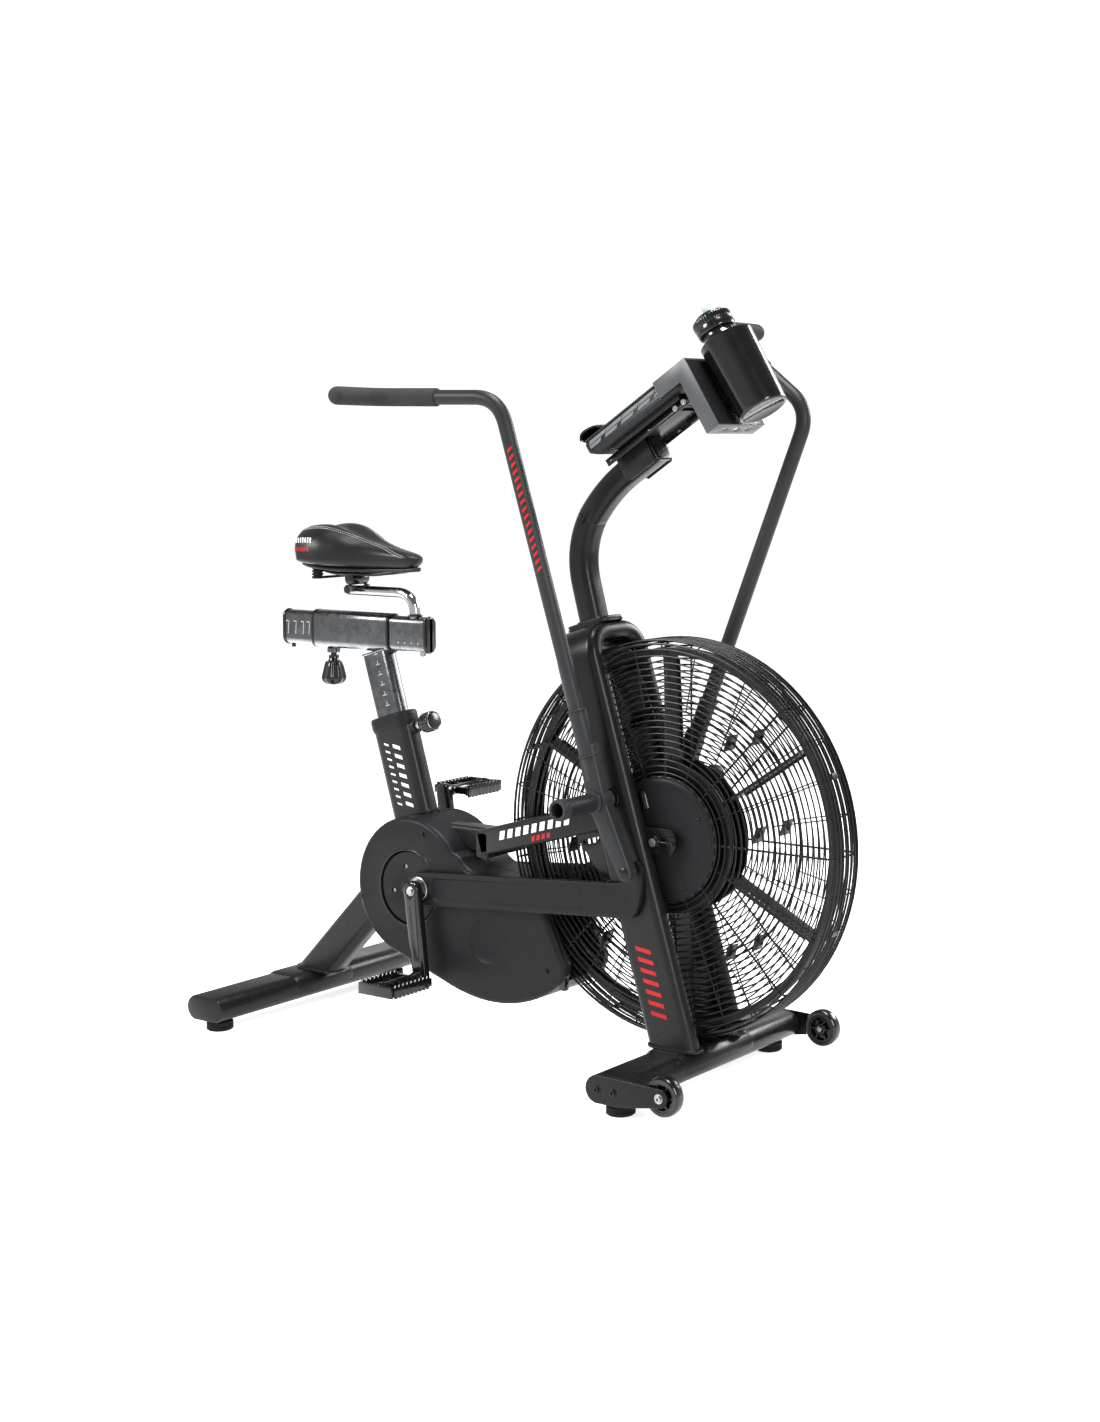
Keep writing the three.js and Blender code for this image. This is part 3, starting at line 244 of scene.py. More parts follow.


# The edge values set how strongly pointy edges get a painted highlight.
LOOK = {
    "frame": surface("frame_powder", (0.0042, 0.0044, 0.0048), 0.28, edge=0.35),
    "tube": surface("tube_powder", (0.0125, 0.0132, 0.0145), 0.42, edge=0.3),
    "arm": surface("gloss_paint", (0.003, 0.003, 0.0033), 0.14, grain=(60, 0.08), edge=0.3, shine=0.35),
    "blade": surface("blade_paint", (0.004, 0.0043, 0.005), 0.4, edge=0.4),
    "wire": surface("wire_paint", (0.0035, 0.0038, 0.0042), 0.34, edge=0.2, shine=0.16),
    "cover": surface("cover_plastic", (0.0042, 0.0045, 0.0052), 0.46, grain=(900, 0.35), edge=0.25,
                     shine=0.13),
    "gloss": surface("gloss_plastic", (0.003, 0.003, 0.0033), 0.16, grain=(40, 0.04), shine=0.35),
    "console": surface("console_plastic", (0.0055, 0.006, 0.0068), 0.36, grain=(1100, 0.3), edge=0.3,
                       shine=0.2),
    "band": surface("band_plastic", (0.11, 0.115, 0.12), 0.4, grain=(900, 0.2)),
    "holder": surface("holder_paint", (0.032, 0.034, 0.037), 0.4, edge=0.4, shine=0.3),
    "rubber": surface("foot_rubber", (0.005, 0.005, 0.005), 0.7, grain=(300, 0.5)),
    "belt": surface("belt_rubber", (0.004, 0.004, 0.004), 0.75, grain=(500, 0.4)),
    "foam": surface("grip_foam", (0.020, 0.021, 0.0225), 0.82, grain=(750, 0.7), depth=0.0008),
    "tread": surface("wheel_tread", (0.003, 0.003, 0.003), 0.2, grain=(80, 0.1), shine=0.4),
    "vinyl": leather("saddle_vinyl", (0.0058, 0.0059, 0.0065), 0.34),
    "thread": surface("seam_thread", (0.26, 0.262, 0.27), 0.75, grain=(2500, 0.6)),
    # The zinc finish carries a painted highlight on faces that turn down.
    "zinc": plated("zinc_plate", (0.092, 0.095, 0.1), 0.27),
    "tick": surface("tick_mark", (0.36, 0.37, 0.38), 0.4, metallic=0.8),
    "chrome": surface("chrome_plate", (0.36, 0.37, 0.38), 0.09, metallic=1.0, mottle=(5, 0.05),
                      grain=(30, 0.03),
                      spread=0.04),
    "steel": surface("machined_steel", (0.3, 0.3, 0.3), 0.3, metallic=1.0, grain=(600, 0.2)),
    "bolt": surface("blackened_steel", (0.014, 0.014, 0.015), 0.28, metallic=0.9, grain=(500, 0.2),
                    edge=0.5),
    "red": surface("red_mark", (0.34, 0.010, 0.010), 0.45, grain=(600, 0.15)),
    "white": surface("white_mark", (0.6, 0.61, 0.62), 0.5, grain=(600, 0.15)),
    "screen": surface("screen_glass", (0.004, 0.005, 0.006), 0.08, mottle=(6, 0.3), grain=(20, 0.02),
                      shine=0.5),
    "spout": surface("spout_plastic", (0.3, 0.36, 0.37), 0.3, grain=(200, 0.1)),
    "floor": surface("floor_paper", (0.75, 0.75, 0.75), 0.9, mottle=(0.8, 0.01), grain=(60, 0.05),
                     shine=0.0),
}


# ---- shapes: each is a list of corners and a list of faces ----

def merge(*shapes):
    corners, faces = [], []
    for points, polygons in shapes:
        first = len(corners)
        corners += points
        faces += [[first + i for i in polygon] for polygon in polygons]
    return corners, faces


def oval(width, height, radius=None, steps=8):
    """A racetrack or rounded rectangle as section points."""
    radius = min(width, height) / 2 if radius is None else radius
    points = []
    for quarter, (sx, sy) in enumerate(((1, 1), (-1, 1), (-1, -1), (1, -1))):
        for i in range(steps + 1):
            angle = (quarter + i / steps) * pi / 2
            points.append((sx * (width / 2 - radius) + radius * cos(angle),
                           sy * (height / 2 - radius) + radius * sin(angle)))
    return points


def circle(radius, steps=24):
    return [(radius * cos(2 * pi * i / steps), radius * sin(2 * pi * i / steps))
            for i in range(steps)]


def shell(rings, closed=False):
    """A skin through rings that all have the same number of points, capped unless it closes on itself."""
    count = len(rings[0])
    corners = [Vector(p) for ring in rings for p in ring]
    faces = []
    for r in range(len(rings) if closed else len(rings) - 1):
        a, b = r * count, (r + 1) % len(rings) * count
        faces += [[a + i, a + (i + 1) % count, b + (i + 1) % count, b + i] for i in range(count)]
    if not closed:
        faces.append(list(range(count))[::-1])
        faces.append([(len(rings) - 1) * count + i for i in range(count)])
    return corners, faces


def bent(corners, reach, steps=8):
    """A path through corner points with each inner corner rounded off over its reach."""
    points = [Vector(c) for c in corners]
    path = [points[0]]
    for before, corner, after, r in zip(points, points[1:], points[2:], reach):
        start = corner + (before - corner).normalized() * r
        end = corner + (after - corner).normalized() * r
        path += [start.lerp(corner, i / steps).lerp(corner.lerp(end, i / steps), i / steps)
                 for i in range(steps + 1)]
    return path + [points[-1]]


def sweep(path, section, across=ACROSS, levels=(None, None), closed=False):
    """A section, or one section for each point, carried along a path; levels trim an end to a height."""
    path = [Vector(p) for p in path]
    across = Vector(across)
    rings = []
    for i, point in enumerate(path):
        before = path[i - 1] if closed else path[max(i - 1, 0)]
        after = path[(i + 1) % len(path)] if closed else path[min(i + 1, len(path) - 1)]
        tangent = ((point - before).normalized() + (after - point).normalized()).normalized()
        across = (across - tangent * across.dot(tangent)).normalized()
        up = tangent.cross(across)
        shape = section[i] if isinstance(section[0], list) else section
        ring = [point + across * a + up * b for a, b in shape]
        level = levels[0] if i == 0 else levels[1] if i == len(path) - 1 else None
        if level is not None:
            ring = [q + tangent * ((level - q.z) / tangent.z) for q in ring]
        rings.append(ring)
    return shell(rings, closed)


def rounded_bar(start, end, make, edge=0.002, across=ACROSS):
    """A straight bar whose two ends are eased: make(inset) gives the section drawn in by that much."""
    start, end = Vector(start), Vector(end)
    way = (end - start).normalized()
    stops = [(0, edge), (edge * 0.3, edge * 0.3), (edge, 0)]
    path = [start + way * d for d, _ in stops] + [end - way * d for d, _ in reversed(stops)]
    sections = [make(inset) for _, inset in stops] + [make(inset) for _, inset in reversed(stops)]
    return sweep(path, sections, across)


def turned(profile, place, axis, steps=64):
    """A turned piece: (radius, height) pairs along an axis, from axis to axis or closing on itself."""
    axis = Vector(axis).normalized()
    side = axis.orthogonal().normalized()
    other = axis.cross(side)
    loop = (Vector(profile[0]) - Vector(profile[-1])).length < 1e-9
    profile = profile[:-1] if loop else profile
    corners, rows = [], []
    for radius, height in profile:
        count = 1 if radius < 1e-7 else steps
        rows.append([len(corners) + i for i in range(count)])
        for i in range(count):
            turn = 2 * pi * i / steps
            corners.append(Vector(place) + axis * height
                           + (side * cos(turn) + other * sin(turn)) * radius)
    faces = []
    pairs = list(zip(rows, rows[1:])) + ([(rows[-1], rows[0])] if loop else [])
    for a, b in pairs:
        for i in range(steps):
            j = (i + 1) % steps
            quad = [a[i % len(a)], a[j % len(a)], b[j % len(b)], b[i % len(b)]]
            face = [v for k, v in enumerate(quad) if v not in quad[:k]]
            if len(face) > 2:
                faces.append(face)
    if not loop:
        faces += [row for row in (rows[0], rows[-1]) if len(row) > 1]
    return corners, faces


def looped(profile):
    """A profile that closes on itself, for a ring."""
    return profile + profile[:1]


def peg(radius, length, place, axis, steps=24):
    """A plain cylinder from a place along an axis."""
    return turned([(0, 0), (radius, 0), (radius, length), (0, length)], place, axis, steps)


def disc(x, z, radius, y0, y1, edge=0.001, steps=48):
    """A drum about a crosswise axis, with eased rims."""
    way = 1 if y1 > y0 else -1
    depth = abs(y1 - y0)
    profile = [(0, 0), (radius - edge, 0), (radius, edge), (radius, depth - edge), (radius - edge, depth),
               (0, depth)]
    return turned(profile, (x, y0, z), (0, way, 0), steps)


def slab(outline, y0, y1):
    """A side-view outline of (x, z) points made solid from y0 to y1."""
    return shell([[(x, y, z) for x, z in outline] for y in (y0, y1)])


def brick(low, high):
    return slab([(low[0], low[2]), (high[0], low[2]), (high[0], high[2]), (low[0], high[2])], low[1],
                high[1])


def arc(x, z, radius, start, end, steps=16):
    return [(x + radius * cos(start + (end - start) * i / steps),
             z + radius * sin(start + (end - start) * i / steps)) for i in range(steps + 1)]


def quad(a, b, c, steps=10):
    a, b, c = Vector(a), Vector(b), Vector(c)
    return [tuple(a.lerp(b, i / steps).lerp(b.lerp(c, i / steps), i / steps)) for i in range(1, steps + 1)]


def inset(outline, depth):
    """The outline drawn in by a depth along its corner normals."""
    points = [Vector(p) for p in outline]
    area = sum(a.x * b.y - b.x * a.y for a, b in zip(points, points[1:] + points[:1]))
    sign = 1 if area > 0 else -1
    result = []
    for before, point, after in zip(points[-1:] + points[:-1], points, points[1:] + points[:1]):
        n1 = Vector((-(point - before).y, (point - before).x)).normalized() * sign
        n2 = Vector((-(after - point).y, (after - point).x)).normalized() * sign
        normal = (n1 + n2).normalized()
        result.append(tuple(point + normal * depth / max(0.5, normal.dot(n1))))
    return result


def cushioned(outline, levels):
    """A solid through copies of an outline: (y, inset) pairs."""
    return shell([[(x, y, z) for x, z in inset(outline, depth)] for y, depth in levels])


def mirrored(shape):
    corners, faces = shape
    return [Vector((c[0], -c[1], c[2])) for c in corners], [face[::-1] for face in faces]


def on_side(shape, side):
    """Shapes are drawn for the right, at negative y."""
    return mirrored(shape) if side > 0 else shape


def bead(loop, radius=0.0035):
    """A weld bead: a rippled rope along a loop of points."""
    points = [Vector(p) for p in loop]
    total = len(points)
    sections = [circle(radius * (1 + 0.16 * sin(i * 2.4) + random.uniform(-0.08, 0.08)), 8)
                for i in range(total)]
    return sweep(points, sections, (0.3, 0.2, 0.9), closed=True)


WELD_STEP = 0.004


def densely(loop):
    """A closed loop with more points put in between its corners, about WELD_STEP apart."""
    points = [Vector(p) for p in loop]
    dense = []
    for a, b in zip(points, points[1:] + points[:1]):
        count = max(1, round((b - a).length / WELD_STEP))
        dense += [a.lerp(b, i / count) for i in range(count)]
    return dense


def bolt_head(place, axis, radius=0.006, height=0.005):
    """A socket head with a washer under it."""
    hole = [(radius * 0.5, height), (radius * 0.5, height * 0.4), (0, height * 0.4)]
    profile = [(0, 0), (radius * 1.5, 0), (radius * 1.5, 0.0012), (radius, 0.0012), (radius, height * 0.85),
               (radius * 0.88, height)]
    return turned(profile + hole, place, axis, 24)


def nut(place, axis, radius=0.009, height=0.008):
    return turned([(0, 0), (radius, 0), (radius, height * 0.8), (radius * 0.85, height), (0, height)],
                  place, axis, 6)


# ---- pieces ----

EASED_ANGLE = radians(32)


def make(name, shape, body, look, replaces=(), bevel=0.0, smooth=38, slot=None, rounds=3):
    """One visible piece: mesh, eased edges, finish, and the body that it rides on."""
    obj = solid_object(name, shape)
    if bevel:
        eased = obj.modifiers.new("ease", "BEVEL")
        eased.width = bevel
        eased.segments = rounds
        eased.limit_method = "ANGLE"
        eased.angle_limit = EASED_ANGLE
        settle(obj)
    obj.data.shade_smooth()
    obj.data.set_sharp_from_angle(angle=radians(smooth))
    obj.data.materials.clear()
    obj.data.materials.append(LOOK[look])
    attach(obj, body)
    if replaces:
        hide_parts(*replaces)
    return obj


def solid_object(name, shape):
    mesh = bpy.data.meshes.new(name)
    mesh.from_pydata(shape[0], [], shape[1])
    clean(mesh)
    obj = bpy.data.objects.new(name, mesh)
    bpy.context.scene.collection.objects.link(obj)
    return obj


def settle(obj):
    """Modifiers made permanent."""
    graph = bpy.context.evaluated_depsgraph_get()
    ready = bpy.data.meshes.new_from_object(obj.evaluated_get(graph))
    old = obj.data
    obj.modifiers.clear()
    obj.data = ready
    bpy.data.meshes.remove(old)


def carve(shape, *cuts, operation="DIFFERENCE"):
    """A shape with other shapes cut out of it, or with the operation given."""
    obj = solid_object("block", shape)
    tools = [solid_object("cutter", cut) for cut in cuts]
    for tool in tools:
        boolean = obj.modifiers.new("cut", "BOOLEAN")
        boolean.operation = operation
        boolean.solver = "EXACT"
        boolean.object = tool
    settle(obj)
    result = ([v.co.copy() for v in obj.data.vertices], [list(p.vertices) for p in obj.data.polygons])
    for spare in (obj, *tools):
        mesh = spare.data
        bpy.data.objects.remove(spare)
        bpy.data.meshes.remove(mesh)
    return result


def clean(mesh):
    work = bmesh.new()
    work.from_mesh(mesh)
    bmesh.ops.remove_doubles(work, verts=work.verts, dist=1e-6)
    bmesh.ops.dissolve_degenerate(work, dist=1e-6, edges=work.edges)
    bmesh.ops.recalc_face_normals(work, faces=work.faces)
    work.to_mesh(mesh)
    work.free()


# ---- stabilisers, feet and wheels ----

STABILISER = dict(width=0.1, height=0.05, z=0.049)
SLEEVES = {"front": 0.108, "rear": 0.078}


def make_stabilisers():
    for end, reach in SLEEVES.items():
        name = f"{end}_stabiliser"
        low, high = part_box(name)
        x, z = centre(name).x, STABILISER["z"]
        tube = rounded_bar((x, low.y, z), (x, high.y, z),
                           lambda d: oval(STABILISER["width"] - 2 * d, STABILISER["height"] - 2 * d,
                                          0.0249 - d, 12), 0.0025, (-1, 0, 0))
        over, step = 0.0035, 0.009
        stops = [(-reach, 0), (-reach + step, over), (reach - step, over), (reach, 0)]
        sections = [[(a, max(b, -0.006)) for a, b in oval(0.1 + 2 * d, 0.0504 + 2 * d, 0.0252 + d, 12)]
                    for _, d in stops]
        sleeve = sweep([(x, y, z) for y, _ in stops], sections, (-1, 0, 0))
        make(name, merge(tube, sleeve), "frame", "frame", [name])
        groove = [(x, y, z) for y in (low.y + 0.004, high.y - 0.004)]
        caps = [sweep([p, p + Vector((0, 0.0012, 0))], oval(0.1006, 0.0506, 0.0253, 12), (-1, 0, 0))
                for p in map(Vector, groove)]
        make(f"{end}_stabiliser_seams", merge(*caps), "frame", "frame")


def make_feet():
    for end in ("front", "rear"):
        for side, _ in SIDES:
            name = f"{end}_foot_{side}"
            middle, top = centre(name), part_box(name)[1].z
            pad = [(0, 0), (0.0235, 0), (0.0265, 0.0025), (0.0265, 0.0075), (0.0255, 0.0085),
                   (0.0265, 0.0095), (0.0265, 0.0165), (0.0245, 0.019), (0.012, 0.0205), (0, 0.0205)]
            make(name, turned(pad, (middle.x, middle.y, 0), UP), "frame", "rubber", [name])
            stem = [(0, 0.019), (0.007, 0.019), (0.007, top), (0, top)]
            ring = [(0, 0.0205), (0.0115, 0.0205), (0.0115, top - 0.0004), (0, top - 0.0004)]
            make(f"{name}_stem", merge(turned(stem, (middle.x, middle.y, 0), UP, 24),
                                       turned(ring, (middle.x, middle.y, 0), UP, 6)), "frame", "bolt")


def make_wheels():
    front_x = centre("front_stabiliser").x
    for side, sign in SIDES:
        hub = AT[f"wheel_{side}_spin"]
        low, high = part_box(f"wheel_{side}")
        radius, half = (high.z - low.z) / 2, (high.y - low.y) / 2
        rear = front_x - 0.025
        outline = (arc(rear, STABILISER["z"], 0.025, pi / 2, 1.5 * pi)
                   + [(front_x + 0.025, STABILISER["z"] - 0.025)]
                   + arc(hub.x, hub.z, 0.017, -pi / 2, pi / 2)
                   + [(front_x + 0.025, STABILISER["z"] + 0.025)])
        plate = slab(outline, -0.2757, -0.2703)
        make(f"end_plate_{side}", on_side(plate, sign), "frame", "frame", [f"end_plate_{side}"],
             bevel=0.0015)
        screws = [bolt_head((x, -0.2755, STABILISER["z"]), RIGHTWARD, 0.0055, 0.0035)
                  for x in (front_x - 0.024, front_x + 0.012)]
        make(f"end_plate_{side}_screws", on_side(merge(*screws), sign), "frame", "bolt")
        axle = merge(disc(hub.x, hub.z, 0.005, -0.2755, -0.2435, 0.0005, 24),
                     bolt_head((hub.x, -0.2755, hub.z), RIGHTWARD, 0.0058, 0.0042))
        make(f"wheel_{side}_bolt", on_side(axle, sign), "frame", "steel")
        tread = looped([(0.026, -half + 0.001), (0.0315, -half), (0.0345, -half + 0.0025),
                        (radius, -half + 0.007), (radius, half - 0.007), (0.0345, half - 0.0025),
                        (0.0315, half), (0.026, half - 0.001)])
        body = f"wheel_{side}"
        make(f"wheel_{side}_tread", turned(tread, hub, ACROSS, 72), body, "tread", [f"wheel_{side}"])
        rim = looped([(0.0225, -half + 0.002), (0.0263, -half + 0.002), (0.0263, half - 0.002),
                      (0.0225, half - 0.002)])
        core = looped([(0.0056, -half + 0.001), (0.0105, -half + 0.001), (0.0115, -half + 0.003),
                       (0.0115, half - 0.003), (0.0105, half - 0.001), (0.0056, half - 0.001)])
        web = looped([(0.011, -0.0035), (0.023, -0.0035), (0.023, 0.0035), (0.011, 0.0035)])
        spokes = []
        for i in range(6):
            turn = Matrix.Rotation(i * pi / 3, 4, "Y")
            corners, faces = brick((0.010, -half + 0.003, -0.0017), (0.0235, half - 0.003, 0.0017))
            spokes.append(([hub + turn @ Vector(c) for c in corners], faces))
        parts = [turned(profile, hub, ACROSS, 48) for profile in (rim, core, web)]
        make(f"wheel_{side}_hub", merge(*parts, *spokes), body, "gloss", bevel=0.0004, rounds=2)


# ---- frame tubes ----

LEG = dict(x=0.658, lean=0.312, y=0.071, width=0.1, depth=0.038, foot=0.0785)
ARCH = dict(top=0.822, bend=0.052)


def leg_x(z):
    return LEG["x"] - LEG["lean"] * (z - 0.08)


LEG_AXIS = Vector((-LEG["lean"], 0, 1)).normalized()
LEG_FRONT = Vector((LEG_AXIS.z, 0, -LEG_AXIS.x))


def on_arch(up):
    return at(leg_x(ARCH["top"]), ARCH["top"]) + LEG_AXIS * up


def footprint(middle, length, width, z):
    """A loop of points round an oval tube where it stands on a level."""
    return [Vector((middle.x + a, middle.y + b, z)) for a,
            b in oval(length, width, min(length, width) / 2, 10)]


def make_fork():
    corners = [at(leg_x(z), z, y) for z, y in ((0.05, -LEG["y"]), (ARCH["top"], -LEG["y"]),
                                              (ARCH["top"], LEG["y"]), (0.05, LEG["y"]))]
    path = bent(corners, [ARCH["bend"]] * 2, 14)
    tube = sweep(path, oval(LEG["width"], LEG["depth"], 0.0175, 10), LEG_FRONT, (LEG["foot"], LEG["foot"]))
    make("front_fork", tube, "frame", "frame", ["front_fork"])
    beads = []
    for _, side in SIDES:
        foot = at(leg_x(LEG["foot"]), 0, side * LEG["y"])
        loop = footprint(foot, LEG["width"] / LEG_AXIS.z + 0.004, LEG["depth"] + 0.004, LEG["foot"] + 0.001)
        beads.append(bead(densely(loop)))
    make("front_fork_welds", merge(*beads), "frame", "frame")


def tilted_box(middle, size, along):
    """A box about a point with its length along a direction in the middle plane, its sides across."""
    along = Vector(along).normalized()
    half = along * size[0] / 2
    return sweep([middle - half, middle + half], [(size[1] / 2, -size[2] / 2), (size[1] / 2, size[2] / 2),
                                                  (-size[1] / 2, size[2] / 2),
                                                  (-size[1] / 2, -size[2] / 2)], ACROSS)


MARK_DEPTH = 0.0003


def slanted_marks(start, end, count, width, fill, slant, y):
    """A row of slanted dashes between two (x, z) points on a side face at y."""
    start, end = Vector(start), Vector(end)
    way = (end - start).normalized()
    over = Vector((-way.y, way.x))
    pitch = (end - start).length / count
    marks = []
    for i in range(count):
        a = start + way * pitch * i
        b = a + way * pitch * fill
        lean = way * slant * width
        outline = [a - over * width / 2 - lean / 2, b - over * width / 2 - lean / 2,
                   b + over * width / 2 + lean / 2, a + over * width / 2 + lean / 2]
        marks.append(slab([(CRANK.x + p.x, p.y) for p in outline], y - MARK_DEPTH, y + MARK_DEPTH))
    return merge(*marks)


def make_fork_marks():
    y = LEG["y"] + LEG["depth"] / 2
    for side, sign in SIDES:
        base, top = (leg_x(0.135) - 0.004, 0.135), (leg_x(0.27) - 0.004, 0.27)
        marks = slanted_marks(base, top, 7, 0.032, 0.4, 0.45, -y)
        make(f"fork_marks_{side}", on_side(marks, sign), "frame", "red")


SEAT = dict(x=-0.1, z=0.612, lean=0.307)
SEAT_AXIS = Vector((-SEAT["lean"], 0, 1)).normalized()
SEAT_FRONT = Vector((SEAT_AXIS.z, 0, -SEAT_AXIS.x))


def seat_point(z):
    return at(SEAT["x"] + (SEAT["z"] - z) * SEAT["lean"], z)


def make_seat_tube():
    tube = sweep([seat_point(0.3), seat_point(0.615)], oval(0.1, 0.05, 0.0215, 10), SEAT_FRONT)
    bore = sweep([seat_point(0.345), seat_point(0.66)], oval(0.0768, 0.0358, 0.0155, 10), SEAT_FRONT)
    make("seat_tube", carve(tube, bore), "frame", "frame", ["seat_tube"])
    stops = [(0.603, 0.102, 0.052), (0.605, 0.1055, 0.0555), (0.612, 0.108, 0.058), (0.624, 0.108, 0.058),
             (0.629, 0.106, 0.056), (0.631, 0.101, 0.051)]
    rings = [oval(w, h, h / 2 - 0.002, 10) for _, w, h in stops]
    collar = carve(sweep([seat_point(z) for z, _, _ in stops], rings, SEAT_FRONT), bore)
    boss_at = seat_point(0.596) + SEAT_FRONT * 0.046
    boss = turned([(0, 0), (0.0145, 0), (0.0145, 0.012), (0.0132, 0.0138), (0.0088, 0.0138),
                   (0.0088, 0.002), (0, 0.002)], boss_at, SEAT_FRONT, 40)
    make("seat_tube_collar", merge(collar, boss), "frame", "cover", slot="frame_black")
    loop = [seat_point(0.43) + SEAT_FRONT * a + Vector((0, b, 0)) for a,
            b in oval(0.102, 0.052, 0.0215, 10)]
    make("seat_tube_weld", bead(densely(loop), 0.003), "frame", "frame")
    low, high = seat_point(0.452), seat_point(0.585)
    for side, sign in SIDES:
        rows = [slanted_marks((low.x - CRANK.x + dx, low.z), (high.x - CRANK.x + dx, high.z), n, w, f, 0.5,
                              -0.0251) for dx, n, w,
                              f in ((0.013, 7, 0.018, 0.38), (-0.014, 9, 0.011, 0.25))]
        make(f"seat_tube_marks_{side}", on_side(merge(*rows), sign), "frame", "white")


REAR_LEG = dict(offset=-0.397, width=0.078, depth=0.05)


def make_rear_leg():
    low, high = at(REAR_LEG["offset"] + 0.05, 0.05), at(REAR_LEG["offset"] + 0.34, 0.34)
    section = oval(REAR_LEG["width"], REAR_LEG["depth"], 0.018, 10)
    tube = sweep([low, high], section, (0.7, 0, -0.7), (0.0785, None))
    make("rear_leg", tube, "frame", "frame", ["rear_leg"])
    foot = at(REAR_LEG["offset"] + 0.0785, 0)
    loop = footprint(foot, REAR_LEG["width"] * sqrt(2) + 0.004, REAR_LEG["depth"] + 0.004, 0.0795)
    make("rear_leg_weld", bead(densely(loop)), "frame", "frame")


BEAM = dict(rear=0.184, z=0.406, slope=0.277, inner=0.053, outer=0.078, height=0.052)


def beam_z(x):
    return BEAM["z"] + (x - BEAM["rear"]) * BEAM["slope"]


def shifted(outline):
    return [(CRANK.x + x, z) for x, z in outline]


def make_beam():
    half = BEAM["height"] / 2
    parts = []
    gussets = []
    for _, side in SIDES:
        y = side * (BEAM["inner"] + BEAM["outer"]) / 2
        thick = BEAM["outer"] - BEAM["inner"]
        end = leg_x(beam_z(0.48)) - 0.03
        start = at(BEAM["rear"] + 0.006, beam_z(BEAM["rear"] + 0.006), y)
        parts.append(rounded_bar(start, at(end, beam_z(end), y),
                                 lambda d: oval(BEAM["height"] - 2 * d, thick - 2 * d, 0.008, 6), 0.003,
                                 UP))
        plate = slab(shifted([(0.425, beam_z(0.425) - half + 0.004), (0.455, 0.412), (0.49, 0.373),
                              (0.556, 0.373), (0.53, 0.47)]), side * 0.0615, side * 0.0705)
        gussets.append(plate)
    cross = rounded_bar(at(BEAM["rear"] + 0.015, BEAM["z"], -BEAM["outer"]),
                        at(BEAM["rear"] + 0.015, BEAM["z"], BEAM["outer"]),
                        lambda d: oval(0.03 - 2 * d, 0.052 - 2 * d, 0.006, 5), 0.003, AHEAD)
    stub = sweep([at(0.011, BEAM["z"] - 0.005), at(BEAM["rear"] + 0.004, BEAM["z"] - 0.005)],
                 oval(0.044, 0.05, 0.009, 6), ACROSS)
    make("main_beam", merge(*parts, cross, stub), "frame", "frame", ["main_beam"])
    opening = slab(shifted(arc(0.449, 0.4365, 0.0045, pi / 2, 1.5 * pi)
                           + arc(0.484, 0.4462, 0.0045, -pi / 2, pi / 2)), -0.09, 0.09)
    make("main_beam_gussets", carve(merge(*gussets), opening), "frame", "frame", bevel=0.0012)
    welds = []
    for _, side in SIDES:
        x = leg_x(beam_z(0.49)) - LEG["width"] / 2 - 0.004
        loop = [at(x + dx, beam_z(x) + dz, side * y) for dx, dz, y in
                ((0, 0.027, 0.055), (0, 0.027, 0.076), (0.012, -0.027, 0.076), (0.012, -0.027, 0.055))]
        welds.append(bead(densely(loop), 0.003))
    make("main_beam_welds", merge(*welds), "frame", "frame")
    start, end = (0.245, beam_z(0.245) + 0.006), (0.425, beam_z(0.425) + 0.006)
    low, high = (0.325, beam_z(0.325) - 0.014), (0.375, beam_z(0.375) - 0.014)
    for side, sign in SIDES:
        make(f"beam_marks_{side}", on_side(slanted_marks(start, end, 9, 0.016, 0.6, 0.4, -BEAM["outer"]),
                                           sign), "frame", "white")
        make(f"beam_dashes_{side}", on_side(slanted_marks(low, high, 4, 0.009, 0.6, 0.4, -BEAM["outer"]),
                                            sign), "frame", "red")


CONSOLE = dict(x=0.448, z=1.19, slope=radians(32.5), half=0.07, length=0.245)
UPHILL = Vector((cos(CONSOLE["slope"]), 0, sin(CONSOLE["slope"])))
OUTWARD = Vector((-sin(CONSOLE["slope"]), 0, cos(CONSOLE["slope"])))


def on_console(s, n, y=0.0):
    """A point s up the console's slope and n out of its face."""
    return at(CONSOLE["x"], CONSOLE["z"], y) + UPHILL * s + OUTWARD * n


NECK_DROP = -0.078


def make_neck():
    path = bent([on_arch(0.024), at(0.38, 0.99), on_console(-0.05, NECK_DROP),
                 on_console(0.097, NECK_DROP)], [0.075, 0.07], 14)
    tube = sweep(path, oval(0.05, 0.05, 0.0168, 8), AHEAD)
    pad = rounded_bar(on_arch(0.0195), on_arch(0.028),
                      lambda d: oval(0.094 - 2 * d, 0.064 - 2 * d, 0.012, 8), 0.0015, LEG_FRONT)
    make("neck", merge(tube, pad), "frame", "frame", ["neck"])
    loop = [on_arch(0.0285) + LEG_FRONT * a + Vector((0, b, 0)) for a, b in oval(0.054, 0.054, 0.018, 8)]
    below = [on_arch(0.0195) + LEG_FRONT * a + Vector((0, b, 0)) for a, b in oval(0.095, 0.062, 0.014, 8)]
    make("neck_welds", merge(bead(densely(loop), 0.0028), bead(densely(below), 0.0025)), "frame", "frame")
    start = on_console(0.0975, NECK_DROP)
    stops = [(0, 0.025), (0.001, 0.0256), (0.004, 0.0256), (0.0062, 0.0236), (0.0068, 0.021)]
    rings = [oval(2 * half, 2 * half, 0.014, 8) for _, half in stops]
    cap = sweep([start + UPHILL * d for d, _ in stops], rings, ACROSS)
    make("neck_cap", cap, "frame", "gloss", ["neck_cap"])


# ---- covers, crank and rods ----

COVER = dict(face=0.072, radius=0.141, belly=0.0955, edge=0.011, wall=0.006)
CAGE = dict(radius=0.372, half=0.047)


